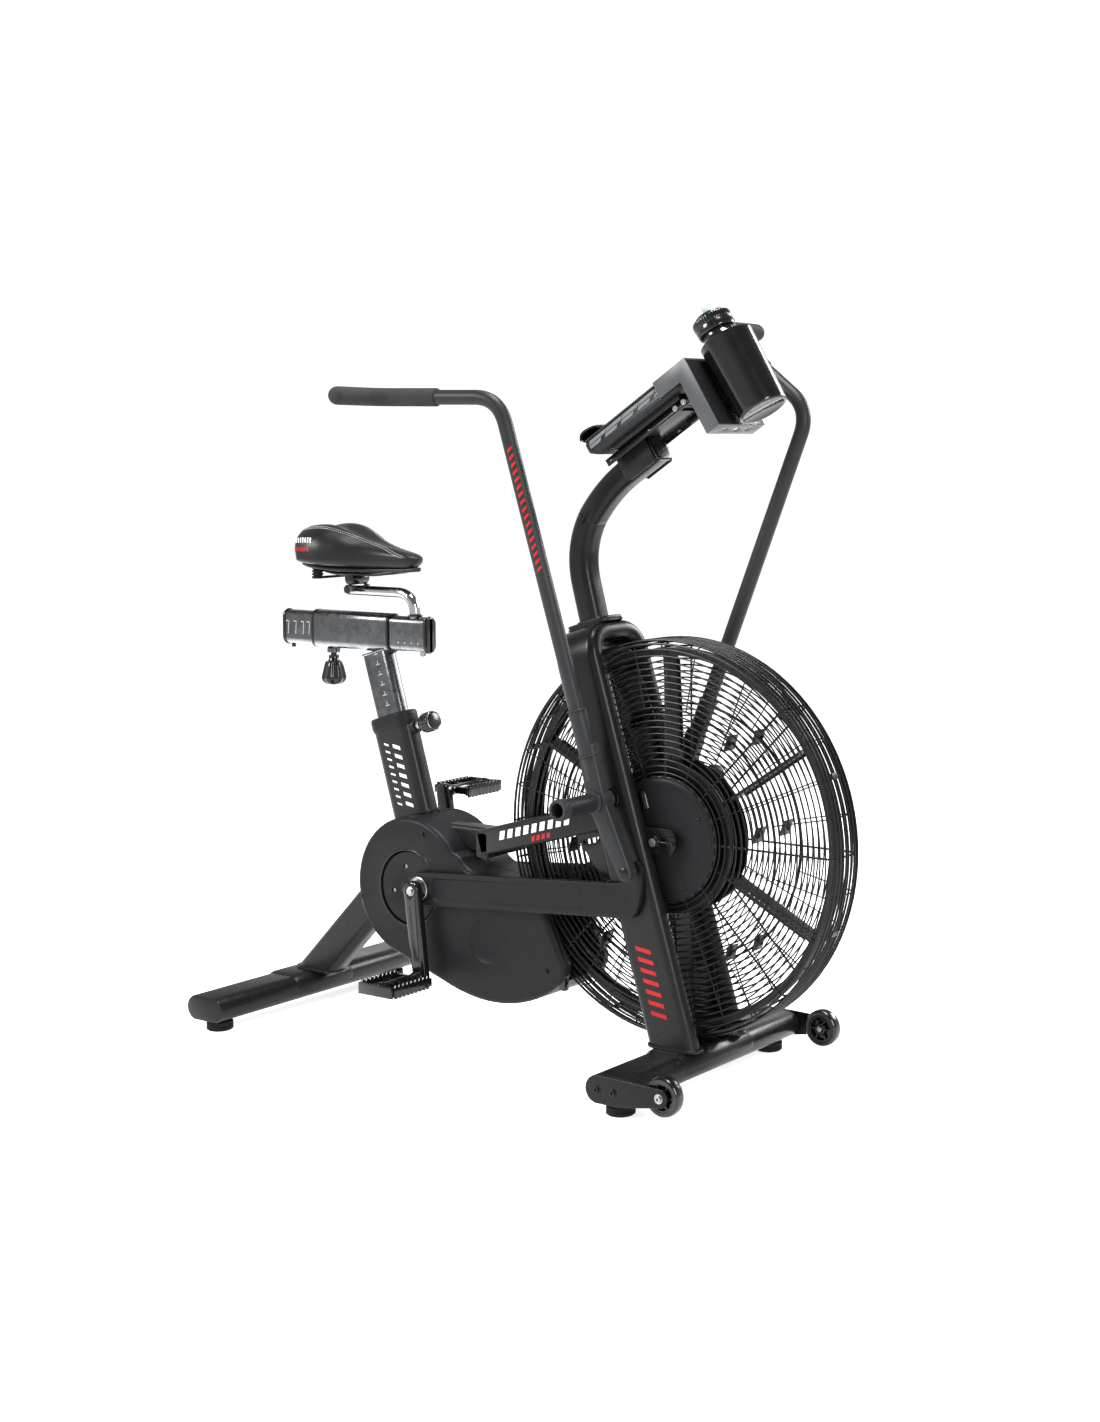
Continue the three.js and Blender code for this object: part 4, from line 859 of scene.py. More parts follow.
def cover_outline(d):
    low = COVER["belly"] + d
    points = arc(0, CRANK.z, COVER["radius"] - d, 0.62, pi * 1.42, 48) + [(0.095, 0.117 + d)]
    points += quad(points[-1], (0.158, low), (0.212, low))
    points += quad(points[-1], (0.28, low), (0.337 - d / 2, 0.124 + d))
    points += quad(points[-1], (0.372 - d, 0.1415 + d), (0.397 - d, 0.172 + d / 2)) + [(0.399 - d, 0.193)]
    points += quad(points[-1], (0.358 - d, 0.26 - d), (0.336 - d, 0.33 - d))
    points += [(0.185, 0.345 - d)]
    points += quad(points[-1], (0.15, 0.345 - d), (0.134 - d, 0.372 - d))
    return shifted(points)


def cover_block(levels):
    return shell([[(x, y, z) for x, z in cover_outline(d)] for y, d in levels])


def make_covers():
    face, edge, wall = COVER["face"], COVER["edge"], COVER["wall"]
    fillet = [(-(face - edge) - edge * sin(a), edge * (1 - cos(a)))
              for a in (i * pi / 12 for i in range(7))]
    outer = cover_block([(-0.0002, 0.0009), (-0.0012, 0)] + fillet)
    clear = CAGE["radius"] + 0.006
    slice_face = CAGE["half"] + 0.005
    room = carve(cover_block([(0.01, wall), (-face + wall, wall)]),
                 disc(FAN.x, FAN.z, clear + wall / 2, 0.02, -slice_face - wall / 2, steps=96))
    x, z = CRANK.x, CRANK.z
    dish = [(0, 0.0052), (0.014, 0.005), (0.027, 0.0044), (0.036, 0.0034), (0.042, 0.002), (0.0455, 0.0006),
            (0.047, -0.0003), (0.047, -0.003), (0, -0.003)]
    holes = [(x + 0.045, z + 0.112), (x - 0.1285, z - 0.031), (x + 0.36, z - 0.118), (x + 0.3, z + 0.018)]
    belt_room = disc(FAN.x, FAN.z, 0.06, 0.02, -0.03)
    tube_room = sweep([seat_point(0.33), seat_point(0.5)], oval(0.0996, 0.0496, 0.0213, 10), SEAT_FRONT)
    for side, sign in SIDES:
        cuts = [room, tube_room, disc(FAN.x, FAN.z, clear, 0.02, -slice_face, steps=128),
                disc(x, z, 0.075, -0.1, -0.05, steps=72), turned(dish, (JACK.x, -face, JACK.z), ACROSS, 64)]
        cuts += [disc(hx, hz, 0.0058, -0.09, -face + 0.0035, steps=20) for hx, hz in holes]
        if side == "left":
            cuts.append(belt_room)
        body = carve(outer, *cuts)
        name = f"shroud_{side}"
        make(name, on_side(body, sign), "frame", "cover", [name], smooth=24)
        screws = [bolt_head((hx, -face + 0.0032, hz), RIGHTWARD, 0.0036, 0.0022) for hx, hz in holes]
        make(f"{name}_screws", on_side(merge(*screws), sign), "frame", "bolt")
        lip = looped([(0.0752, -face - 0.0012), (0.0775, -face - 0.0012), (0.0785, -face + 0.0004),
                      (0.0752, -face + 0.0004)])
        ring = turned(lip, (x, 0, z), ACROSS, 96)
        tab = brick((x + 0.378, -0.062, 0.142), (x + 0.392, -0.05, 0.168))
        make(f"{name}_trim", on_side(merge(ring, tab), sign), "frame", "gloss", bevel=0.0006, rounds=2)


THROW = 0.042
PHASE = radians(7)


def make_cranks():
    disc_face = 0.070
    for side, sign in SIDES:
        body = "crank"
        turn = PHASE + (0 if side == "right" else pi)
        pin = Vector((CRANK.x + THROW * cos(turn), 0, CRANK.z + THROW * sin(turn)))
        spots = [(CRANK.x + 0.043 * cos(a), CRANK.z + 0.043 * sin(a))
                 for a in (turn + radians(96 + 90 * i) for i in range(3))]
        holes = [disc(hx, hz, 0.0055, -0.09, -0.05, 0.0001, 24) for hx, hz in spots]
        plate = carve(merge(turned([(0, 0.064), (0.0712, 0.064), (0.072, 0.0652), (0.072, 0.0688),
                                    (0.0706, disc_face), (0.030, disc_face), (0.028, 0.0692),
                                    (0.022, 0.0692), (0.0195, disc_face), (0.018, 0.0722), (0.0165, 0.0728),
                                    (0, 0.0728)], (CRANK.x, 0, CRANK.z), RIGHTWARD, 96)), *holes)
        make(f"crank_disc_{side}", on_side(plate, sign), body, "cover", [f"crank_disc_{side}"],
             slot="arm_black")
        inner = [bolt_head((hx, -0.0645, hz), RIGHTWARD, 0.0035, 0.003) for hx, hz in spots]
        post = turned([(0, 0.069), (0.0128, 0.069), (0.0128, 0.073), (0.011, 0.0745), (0.011, 0.0955),
                       (0, 0.0955)], pin, RIGHTWARD, 40)
        make(f"crank_pin_{side}", on_side(merge(post, *inner), sign), body, "steel", slot="steel")

        end = AT[f"pedal_{side}_spin"]
        down = atan2(end.z - pin.z, end.x - pin.x)
        outline = (arc(pin.x, pin.z, 0.019, down + pi / 2, down + 1.5 * pi, 20)
                   + arc(end.x, end.z, 0.017, down - pi / 2, down + pi / 2, 20))
        levels = [(-0.0965, 0.0025), (-0.0972, 0.001), (-0.0985, 0), (-0.109, 0), (-0.1115, 0.0012),
                  (-0.1128, 0.004)]
        bar = cushioned(outline, levels)
        way = Vector((cos(down), 0, sin(down)))
        groove = [pin + way * d for d in (0.03, 0.132)]
        over = Vector((-way.z, 0, way.x))
        dip = [(p + over * w) for p, w in ((groove[0], 0.006), (groove[0], -0.006), (groove[1], -0.0055),
                                          (groove[1], 0.0055))]
        channel = slab([(q.x, q.z) for q in dip], -0.12, -0.1119)
        seat = disc(pin.x, pin.z, 0.0115, -0.12, -0.1105, steps=32)
        arm = carve(bar, channel, seat)
        name = f"crank_arm_{side}"
        make(name, on_side(arm, sign), body, "arm", [name], bevel=0.0005, rounds=2)
        bolt = merge(disc(pin.x, pin.z, 0.0098, -0.110, -0.1125, 0.0006, 32),
                     nut((pin.x, -0.112, pin.z), RIGHTWARD, 0.0078, 0.0042))
        spindle = turned([(0, 0.110), (0.0095, 0.110), (0.0095, 0.1155), (0.0062, 0.1165), (0.0058, 0.232),
                          (0, 0.232)], (end.x, 0, end.z), RIGHTWARD, 32)
        make(f"{name}_bolts", on_side(merge(bolt, spindle), sign), body, "steel")


PEDAL = dict(inner=0.118, outer=0.234, length=0.092, height=0.026)


def make_pedals():
    for side, sign in SIDES:
        hub = AT[f"pedal_{side}_spin"]
        body = f"pedal_{side}"
        inner, outer = PEDAL["inner"], PEDAL["outer"]
        half, rise = PEDAL["length"] / 2, PEDAL["height"] / 2
        parts = []
        for end in (-1, 1):
            x = hub.x + end * (half - 0.003)
            count = 9
            top = []
            for i in range(count):
                y0 = -(inner + 0.012 + (outer - inner - 0.016) * i / count)
                step = (outer - inner - 0.016) / count
                top += [(y0, hub.z + rise), (y0 - step * 0.45, hub.z + rise),
                        (y0 - step * 0.6, hub.z + rise - 0.0045), (y0 - step * 0.85, hub.z + rise - 0.0045)]
            low = [(y, 2 * hub.z - z) for y, z in reversed(top)]
            plate = shell([[(px, y, z) for y, z in top + low] for px in (x - 0.0022, x + 0.0022)])
            parts.append(plate)
            for y in (-(inner + 0.014), -(outer - 0.012)):
                lip = brick((x - 0.0052, y - 0.006, hub.z - rise + 0.005),
                            (x + 0.0052, y + 0.006, hub.z + rise - 0.005))
                parts.append(lip)
        for y, reach, depth in ((-(outer - 0.003), half - 0.003, rise - 0.002),
                                (-0.176, half - 0.006, rise - 0.006),
                                (-(inner + 0.014), half - 0.006, rise - 0.006)):
            parts.append(brick((hub.x - reach, y - 0.0032, hub.z - depth),
                               (hub.x + reach, y + 0.0032, hub.z + depth)))
        for end in (-1, 1):
            x = hub.x + end * 0.026
            parts.append(brick((x - 0.0022, -(outer - 0.004), hub.z - 0.006),
                               (x + 0.0022, -(inner + 0.014), hub.z + 0.006)))
        bore = disc(hub.x, hub.z, 0.0071, -0.10, -0.2332, 0.0001, 24)
        cage = carve(merge(*parts), bore)
        make(f"pedal_{side}_cage", on_side(cage, sign), body, "gloss", [f"pedal_{side}"], bevel=0.0005,
             rounds=2)
        barrel = looped([(0.0072, 0), (0.0118, 0), (0.0125, 0.001), (0.0125, 0.008), (0.0105, 0.011),
                         (0.0105, 0.092), (0.0128, 0.095), (0.0128, 0.113), (0.0112, 0.1158), (0, 0.1158),
                         (0, 0.1146), (0.0072, 0.1146)])
        make(f"pedal_{side}_barrel", on_side(turned(barrel, (hub.x, -inner, hub.z), RIGHTWARD, 40), sign),
             body, "gloss")
        pins = [turned([(0, 0), (0.0016, 0), (0.0016, 0.0022), (0, 0.0026)],
                       (hub.x + dx, -y, hub.z + up * (rise - 0.0025)), (0, 0, up), 8)
                for dx in (-0.026, 0.026) for y in (0.145, 0.16, 0.195, 0.21) for up in (-1, 1)]
        make(f"pedal_{side}_pins", on_side(merge(*pins), sign), body, "bolt")


LEVER = 0.141
LEVER_ANGLE = radians(-63)
SWING = radians(34.6)
HANDLE_LEAN = radians(104.5)
ROD = dict(rear=0.075, front=0.093, thick=0.012, height=0.066, slope=0.078)


def lever_end(side):
    angle = LEVER_ANGLE - (0 if side == "right" else SWING)
    return Vector((PIVOT.x + LEVER * cos(angle), 0, PIVOT.z + LEVER * sin(angle)))


def make_rods():
    high = ROD["height"]
    for side, sign in SIDES:
        turn = PHASE + (0 if side == "right" else pi)
        pin = Vector((CRANK.x + THROW * cos(turn), 0, CRANK.z + THROW * sin(turn)))
        link = lever_end(side)

        def top(x):
            return pin.z + high / 2 + (x - pin.x) * ROD["slope"]

        def splay(shape):
            lean = (ROD["front"] - ROD["rear"]) / (link.x - pin.x)
            return [Vector((c[0], c[1] - (c[0] - pin.x) * lean, c[2])) for c in shape[0]], shape[1]

        outline = arc(pin.x, pin.z, high / 2, pi / 2, 1.5 * pi, 28)
        outline.append((link.x - 0.016, top(link.x - 0.016) - high))
        outline += quad(outline[-1], (link.x + 0.012, top(link.x) - high + 0.004),
                        (link.x + 0.0165, link.z - 0.008))
        outline += arc(link.x, link.z, 0.017, -0.3, pi * 0.8, 16)
        outline += quad(outline[-1], (link.x - 0.022, top(link.x) + 0.002),
                        (link.x - 0.046, top(link.x - 0.046)))
        rear, thick = ROD["rear"], ROD["thick"]
        levels = [(-rear, 0.0022), (-rear - 0.0006, 0.0007), (-rear - 0.002, 0),
                  (-rear - thick + 0.0035, 0), (-rear - thick + 0.001, 0.001), (-rear - thick, 0.0035)]
        flat = cushioned(outline, levels)
        start, end, reach = pin.x + 0.052, link.x - 0.128, 0.0235
        middle = [Vector((x, top(x) - high / 2)) for x in (start, end)]
        tilt = atan(ROD["slope"])
        pocket = (arc(middle[0].x, middle[0].y, reach, tilt + pi / 2, tilt + 1.5 * pi, 14)
                  + arc(middle[1].x - 0.012, middle[1].y - reach + 0.012, 0.012, tilt - pi / 2, tilt, 8)
                  + arc(middle[1].x - 0.012, middle[1].y + reach - 0.012, 0.012, tilt, tilt + pi / 2, 8))
        dent = cushioned(pocket, [(-rear - thick - 0.003, -0.0012), (-rear - thick, 0.0),
                                  (-rear - thick + 0.0028, 0.0034)])
        eye = disc(pin.x, pin.z, 0.0245, -0.05, -0.12, 0.0001, 64)
        stud = disc(link.x, link.z, 0.0083, -0.05, -0.12, 0.0001, 32)
        body = f"rod_{side}"
        bar = splay(carve(flat, dent, eye, stud))
        name = f"connecting_rod_{side}"
        make(name, on_side(bar, sign), body, "cover", [name], smooth=28)
        bearing = looped([(0.0119, 0.0762), (0.0165, 0.0762), (0.0165, 0.0895), (0.0119, 0.0895)])
        race = looped([(0.0172, 0.0762), (0.0244, 0.0762), (0.0244, 0.0905), (0.0232, 0.0912),
                       (0.0222, 0.0905), (0.0222, 0.0885), (0.0172, 0.088)])
        make(f"{name}_bearing", on_side(merge(turned(bearing, pin, RIGHTWARD, 48),
                                              turned(race, pin, RIGHTWARD, 64)), sign), body, "steel",
                                              smooth=25)


# ---- swinging handles ----

HANDLE = ((0.040, 0.0, 0.128), (0.767, 0.0, 0.178), (0.838, 0.264, 0.210), (0.838, 0.258, 0.322))
TUBE = 0.0143
GRIP = 0.0175


def handle_point(side, point):
    up, back, out = point
    angle = HANDLE_LEAN - (0 if side == "right" else SWING)
    c, s = cos(angle), sin(angle)
    return Vector((PIVOT.x + up * c - back * s, -out, PIVOT.z + up * s + back * c))


def make_handles():
    for side, sign in SIDES:
        body = f"handle_{side}"
        path = bent([handle_point(side, p) for p in HANDLE], (0.052, 0.040), 16)
        tube = sweep(path, circle(TUBE, 28), ACROSS)
        sleeve_start, sleeve_end = (handle_point(side, (up, 0, 0.128 + (up - 0.04) * 0.0688))
                                    for up in (0.085, 0.172))
        collar = rounded_bar(sleeve_start, sleeve_end, lambda d: circle(0.0172 - d, 28), 0.003)
        link = lever_end(side)
        head = handle_point(side, (0.100, 0, 0))
        along = atan2(PIVOT.z - head.z, PIVOT.x - head.x)
        down = atan2(link.z - PIVOT.z, link.x - PIVOT.x)
        outline = (arc(head.x, head.z, 0.018, along + pi / 2, along + 1.5 * pi, 14)
                   + [(PIVOT.x + 0.0205 * cos(down - pi / 2), PIVOT.z + 0.0205 * sin(down - pi / 2))]
                   + arc(link.x, link.z, 0.0155, down - pi / 2, down + pi / 2, 14)
                   + [(PIVOT.x + 0.0205 * cos(down + pi / 2), PIVOT.z + 0.0205 * sin(down + pi / 2))])
        levels = [(-0.1155, 0.005), (-0.1168, 0.0018), (-0.1195, 0), (-0.1365, 0), (-0.1392, 0.0018),
                  (-0.1405, 0.005)]
        lever = cushioned(outline, levels)
        bore = disc(PIVOT.x, PIVOT.z, 0.013, -0.05, -0.2, 0.0001, 48)
        name = f"handle_{side}"
        make(name, on_side(tube, sign), body, "tube", [name])
        make(f"{name}_lever", on_side(merge(carve(lever, bore), collar), sign), body, "tube", smooth=30)
        hub = looped([(0.0132, 0.1125), (0.0225, 0.1125), (0.0235, 0.1135), (0.0235, 0.1425),
                      (0.0225, 0.1435), (0.0132, 0.1435)])
        stud = [(0, 0.1085), (0.0079, 0.1085), (0.0079, 0.1158), (0, 0.1158)]
        make(f"{name}_hub", on_side(merge(turned(hub, PIVOT * FLAT, RIGHTWARD, 56),
                                          turned(stud, link, RIGHTWARD, 32)), sign), body, "tube",
                                          smooth=30)
        cap = [(0, 0.1385), (0.0105, 0.1385), (0.0112, 0.1395), (0.0112, 0.1412), (0.009, 0.1428),
               (0, 0.1432)]
        pin = [(0, 0.078), (0.0115, 0.078), (0.0115, 0.0805), (0.0078, 0.081), (0.0078, 0.1085),
               (0, 0.1085)]
        make(f"{name}_pin", on_side(merge(turned(cap, link, RIGHTWARD, 32),
                                          turned(pin, link, RIGHTWARD, 32)), sign), body, "bolt")
        tangent = (sleeve_end - sleeve_start).normalized()
        welds = [bead(ring_about(sleeve_end, tangent, 0.0172, 52), 0.0022),
                 bead(ring_about(sleeve_start + tangent * 0.001, tangent, 0.0176, 52), 0.0022)]
        make(f"{name}_welds", on_side(merge(*welds), sign), body, "tube")
        marks = wrapped_marks(path[0], path[1])
        make(f"{name}_marks", on_side(marks, sign), body, "red")
        make_grip(side, sign, body)


def ring_about(middle, axis, radius, steps):
    axis = Vector(axis).normalized()
    a = axis.orthogonal().normalized()
    b = axis.cross(a)
    return [middle + (a * cos(2 * pi * i / steps) + b * sin(2 * pi * i / steps)) * radius
            for i in range(steps)]


def wrapped_marks(low, high):
    """A row of slanted dashes wrapped on the outer side of the straight tube."""
    way = (high - low).normalized()
    out = Vector(RIGHTWARD)
    out = (out - way * out.dot(way)).normalized()
    ahead = way.cross(out)
    marks = []
    for i in range(17):
        start = 0.395 + i * 0.0142
        rings = []
        for step in range(6):
            angle = radians(2 + 8 * step)
            shift = start + step * 0.0014
            for radius in (TUBE - 0.0004, TUBE + 0.0003):
                for reach in (0, 0.0055):
                    rings.append(low + way * (shift + reach)
                                 + (out * cos(angle) + ahead * sin(angle)) * radius)
        quads = [[rings[4 * k], rings[4 * k + 1], rings[4 * k + 3], rings[4 * k + 2]] for k in range(6)]
        marks.append(shell(quads))
    return merge(*marks)


def make_grip(side, sign, body):
    start, bend, end = (Vector(p) for p in HANDLE[1:])
    first = start.lerp(bend, 0.5)
    last = end + Vector((0, 0, (end.z - bend.z) * 0.16))
    path = bent([handle_point(side, p) for p in (first, bend, last)], (0.040,), 14)
    tail = path[-1]
    way = (path[-1] - path[-2]).normalized()
    path[-1] = tail - way * GRIP
    radii = [GRIP] * len(path)
    for turn in range(1, 8):
        angle = turn * pi / 16
        path.append(tail - way * GRIP * (1 - sin(angle)))
        radii.append(GRIP * cos(angle))
    lead = (path[1] - path[0]).normalized()
    path[0:1] = [path[0], path[0] + lead * 0.0006, path[0] + lead * 0.0025]
    radii[0:1] = [TUBE + 0.0004, GRIP - 0.0008, GRIP]
    grip = make(f"grip_{side}", on_side(sweep(path, [circle(r, 32) for r in radii], ACROSS), sign), body,
                "foam", [f"grip_{side}"])


def make_foot_pegs():
    for side, sign in SIDES:
        name = f"foot_peg_{side}"
        where = PIVOT * FLAT
        stud = [(0, 0.054), (0.012, 0.054), (0.012, 0.15), (0, 0.15)]
        washers = [(0, 0.0905), (0.018, 0.0905), (0.019, 0.0915), (0.019, 0.0945), (0.018, 0.0955),
                   (0.0142, 0.0955), (0.0142, 0.0975), (0.017, 0.098), (0.0185, 0.1), (0.0185, 0.104),
                   (0.017, 0.106), (0.0142, 0.1065), (0.0142, 0.108), (0.0175, 0.1085), (0.0175, 0.1115),
                   (0, 0.1115)]
        make(f"{name}_stud", on_side(merge(turned(stud, where, RIGHTWARD, 32),
                                           turned(washers, where, RIGHTWARD, 48)), sign), "frame", "bolt")
        peg = [(0, 0.1445), (0.0205, 0.1445), (0.0212, 0.1455), (0.0212, 0.1505), (0.0198, 0.152),
               (0.0176, 0.1535), (0.0176, 0.226), (0.0183, 0.2275), (0.0192, 0.229), (0.0192, 0.2485),
               (0.0182, 0.25), (0.0140, 0.25), (0.0133, 0.2488), (0.0133, 0.205), (0, 0.205)]
        make(name, on_side(turned(peg, where, RIGHTWARD, 56), sign), "frame", "tube", [name], smooth=30)
        knurls = [turned(looped([(r, h), (r + 0.0007, h + 0.0006), (r + 0.0007, h + 0.0022),
                                 (r, h + 0.0028)]), where, RIGHTWARD, 48) for r,
                                 h in ((0.0191, 0.2315 + 0.004 * i) for i in range(4))]
        make(f"{name}_ribs", on_side(merge(*knurls), sign), "frame", "tube")


# ---- fan and cage ----

FAN_RING = 0.352
DRUM = 0.141
BLADES = 6
FIRST_BLADE = radians(33)


def around_fan(radius, angle, y):
    return Vector((FAN.x + radius * cos(angle), y, FAN.z + radius * sin(angle)))


def hoop(radius, y, wire):
    """A round wire ring about the fan axis."""
    section = [(radius + a, y + b) for a, b in circle(wire, 8)]
    return turned(looped(section), FAN * FLAT, ACROSS, 128)


def make_cage():
    face, radius = -CAGE["half"] + 0.002, CAGE["radius"] - 0.0024
    for side, sign in SIDES:
        rings = [hoop(0.116, face + 0.0002, 0.002)]
        rings += [hoop(0.1245 + 0.012 * i, face, 0.0016) for i in range(20)]
        rings += [hoop(r, y, 0.0023) for r, y in ((0.3625, -0.0437), (0.3690, -0.0352), (radius, -0.0245),
                                                 (radius, -0.0135), (radius, -0.0032))]
        rings.append(hoop(0.2440, face + 0.0036, 0.0022))
        spokes = []
        for i in range(32):
            strong = i % 4 == 0
            wire = 0.0021 if strong else 0.0013
            depth = face + 0.0016 + wire
            angle = radians(11.25 * i)
            inner = 0.1155 if i % 2 == 0 else 0.2435
            path = bent([around_fan(inner, angle, depth), around_fan(radius - 0.0035, angle, depth),
                         around_fan(radius - 0.0035, angle, -0.0022)], (0.016,), 6)
            spokes.append(sweep(path, circle(wire, 8), (0.3, 0.2, 0.9)))
        name = f"cage_{side}"
        make(name, on_side(merge(*rings, *spokes), sign), "frame", "wire", [name])
        clips, bolts = [], []
        for radius_at, degrees in ((0.243, 124), (0.243, 236), (0.213, 188), (0.213, 8), (0.243, 52),
                                   (0.243, 308)):
            spot = around_fan(radius_at, radians(degrees), face)
            clips.append(tilted_box(spot + Vector((0, -0.0036, 0)), (0.03, 0.026, 0.0028),
                                    (-LEG_AXIS.x, 0, LEG_AXIS.z)))
            clips.append(tilted_box(spot + Vector((0, 0.0042, 0)), (0.03, 0.026, 0.0024),
                                    (-LEG_AXIS.x, 0, LEG_AXIS.z)))
            bolts.append(bolt_head((spot.x, spot.y - 0.0048, spot.z), RIGHTWARD, 0.0042, 0.0032))
        make(f"{name}_clips", on_side(merge(*clips), sign), "frame", "wire", bevel=0.0007, rounds=2)
        make(f"{name}_bolts", on_side(merge(*bolts), sign), "frame", "bolt")
    joints = []
    for i in range(8):
        spot = around_fan(radius - 0.0002, radians(22.5 + 45 * i), 0)
        way = (spot - FAN * FLAT).normalized()
        joints.append(sweep([spot + Vector((0, -0.0085, 0)), spot + Vector((0, 0.0085, 0))],
                            oval(0.005, 0.012, 0.0015, 3), way))
    make("cage_rim_clamps", merge(*joints), "frame", "wire")


def make_fan():
    where = FAN * FLAT
    boards, holes, rivets = [], [], []
    half, thick = 0.0255, 0.001
    for i in range(BLADES):
        angle = FIRST_BLADE + 2 * pi * i / BLADES
        way = Vector((cos(angle), 0, sin(angle)))
        over = Vector((-way.z, 0, way.x))
        outline = [(0.13, -half), (0.148, -half), (0.154, -half + 0.003), (FAN_RING - 0.012, -half + 0.003),
                   (FAN_RING - 0.003, -0.0135), (FAN_RING - 0.003, 0.0135),
                   (FAN_RING - 0.012, half - 0.003), (0.154, half - 0.003), (0.148, half), (0.13, half)]
        boards.append(shell([[where + way * r + Vector((0, y, 0)) + over * t for r, y in outline]
                             for t in (-thick, thick)]))
        fold = [(0.16, half - 0.0032), (0.332, half - 0.0032), (0.332, half - 0.0052),
                (0.16, half - 0.0052)]
        for flip in (-1, 1):
            boards.append(shell([[where + way * r + Vector((0, flip * y, 0)) + over * t for r, y in fold]
                                 for t in (-thick - 0.0045, -thick + 0.0002)]))
        for k in range(14):
            r = 0.165 + 0.0127 * k
            holes.append(shell([[where + way * (r + a) + Vector((0, -0.0155 + b, 0)) + over * t for a,
                                 b in ((-0.0024, -0.0024), (0.0024, -0.0024), (0.0024, 0.0024),
                                       (-0.0024, 0.0024))] for t in (-0.004, 0.004)]))
        for r, y in ((0.148, -0.012), (0.148, 0.012)):
            rivets.append(turned([(0, -0.0028), (0.0028, -0.0028), (0.0035, -0.0012), (0.0035, 0.0012),
                                  (0.0028, 0.0028), (0, 0.0028)], where + way * r + Vector((0, y, 0)), over,
                                  12))
    make("fan", carve(merge(*boards), merge(*holes)), "fan_wheel", "blade", ["fan"])
    make("fan_rivets", merge(*rivets), "fan_wheel", "bolt")
    plates = []
    for sign in (-1, 1):
        profile = looped([(0.0083, 0.0225), (0.034, 0.0225), (0.034, 0.0245), (DRUM - 0.002, 0.0245),
                          (DRUM, 0.0232), (DRUM, 0.0255), (DRUM - 0.002, 0.0272), (0.124, 0.0272),
                          (0.120, 0.0262), (0.084, 0.0262), (0.080, 0.0272), (0.05, 0.0272),
                          (0.046, 0.0292), (0.0083, 0.0292)])
        plates.append(turned(profile, where, (0, sign, 0), 96))
    rim = looped([(FAN_RING - 0.0125, 0.0125), (FAN_RING, 0.0125), (FAN_RING, 0.0145),
                  (FAN_RING - 0.0125, 0.0145)])
    web = looped([(FAN_RING - 0.002, -0.0126), (FAN_RING, -0.0126), (FAN_RING, 0.0126),
                  (FAN_RING - 0.002, 0.0126)])
    hub = looped([(0.0083, -0.0385), (0.0145, -0.0385), (0.0145, 0.0385), (0.0083, 0.0385)])
    vee = looped([(0.0144, 0.0305), (0.03, 0.0305), (0.0282, 0.0325), (0.0282, 0.0395), (0.03, 0.0415),
                  (0.0144, 0.0415)])
    rims = [turned(profile, where, (0, sign, 0), 128) for profile in (rim, web) for sign in (-1, 1)][:3]
    core = [turned(profile, where, ACROSS, 48) for profile in (hub, vee)]
    make("fan_hub", merge(*plates, *rims, *core), "fan_wheel", "blade", smooth=30)


SCREW_Y = -0.0735


def make_hub_covers():
    for side, sign in SIDES:
        base = -(CAGE["half"] + 0.0003)
        profile = looped([(0.017, 0), (0.1188, 0), (0.1188, 0.0008), (0.1135, 0.0012), (0.1105, 0.0022),
                          (0.1085, 0.0036), (0.105, 0.0042), (0.1032, 0.0042), (0.1026, 0.0037),
                          (0.1012, 0.0037), (0.1006, 0.0042), (0.05, 0.0042), (0.017, 0.0042)])
        cover = turned(profile, (FAN.x, base, FAN.z), RIGHTWARD, 128)
        slots = []
        for i in range(32):
            angle = 2 * pi * (i + 0.5) / 32
            spot = around_fan(0.1155, angle, base)
            way = Vector((-sin(angle), 0, cos(angle)))
            slots.append(tilted_box(spot, (0.012, 0.0022, 0.02), way))
        name = f"hub_cover_{side}"
        make(name, on_side(carve(cover, merge(*slots)), sign), "frame", "cover", [name], smooth=24)
        screws = [bolt_head(around_fan(0.092, radians(a), base - 0.0042), RIGHTWARD, 0.0036, 0.0022)
                  for a in (28, 118, 208, 298)]
        make(f"{name}_screws", on_side(merge(*screws), sign), "frame", "bolt")


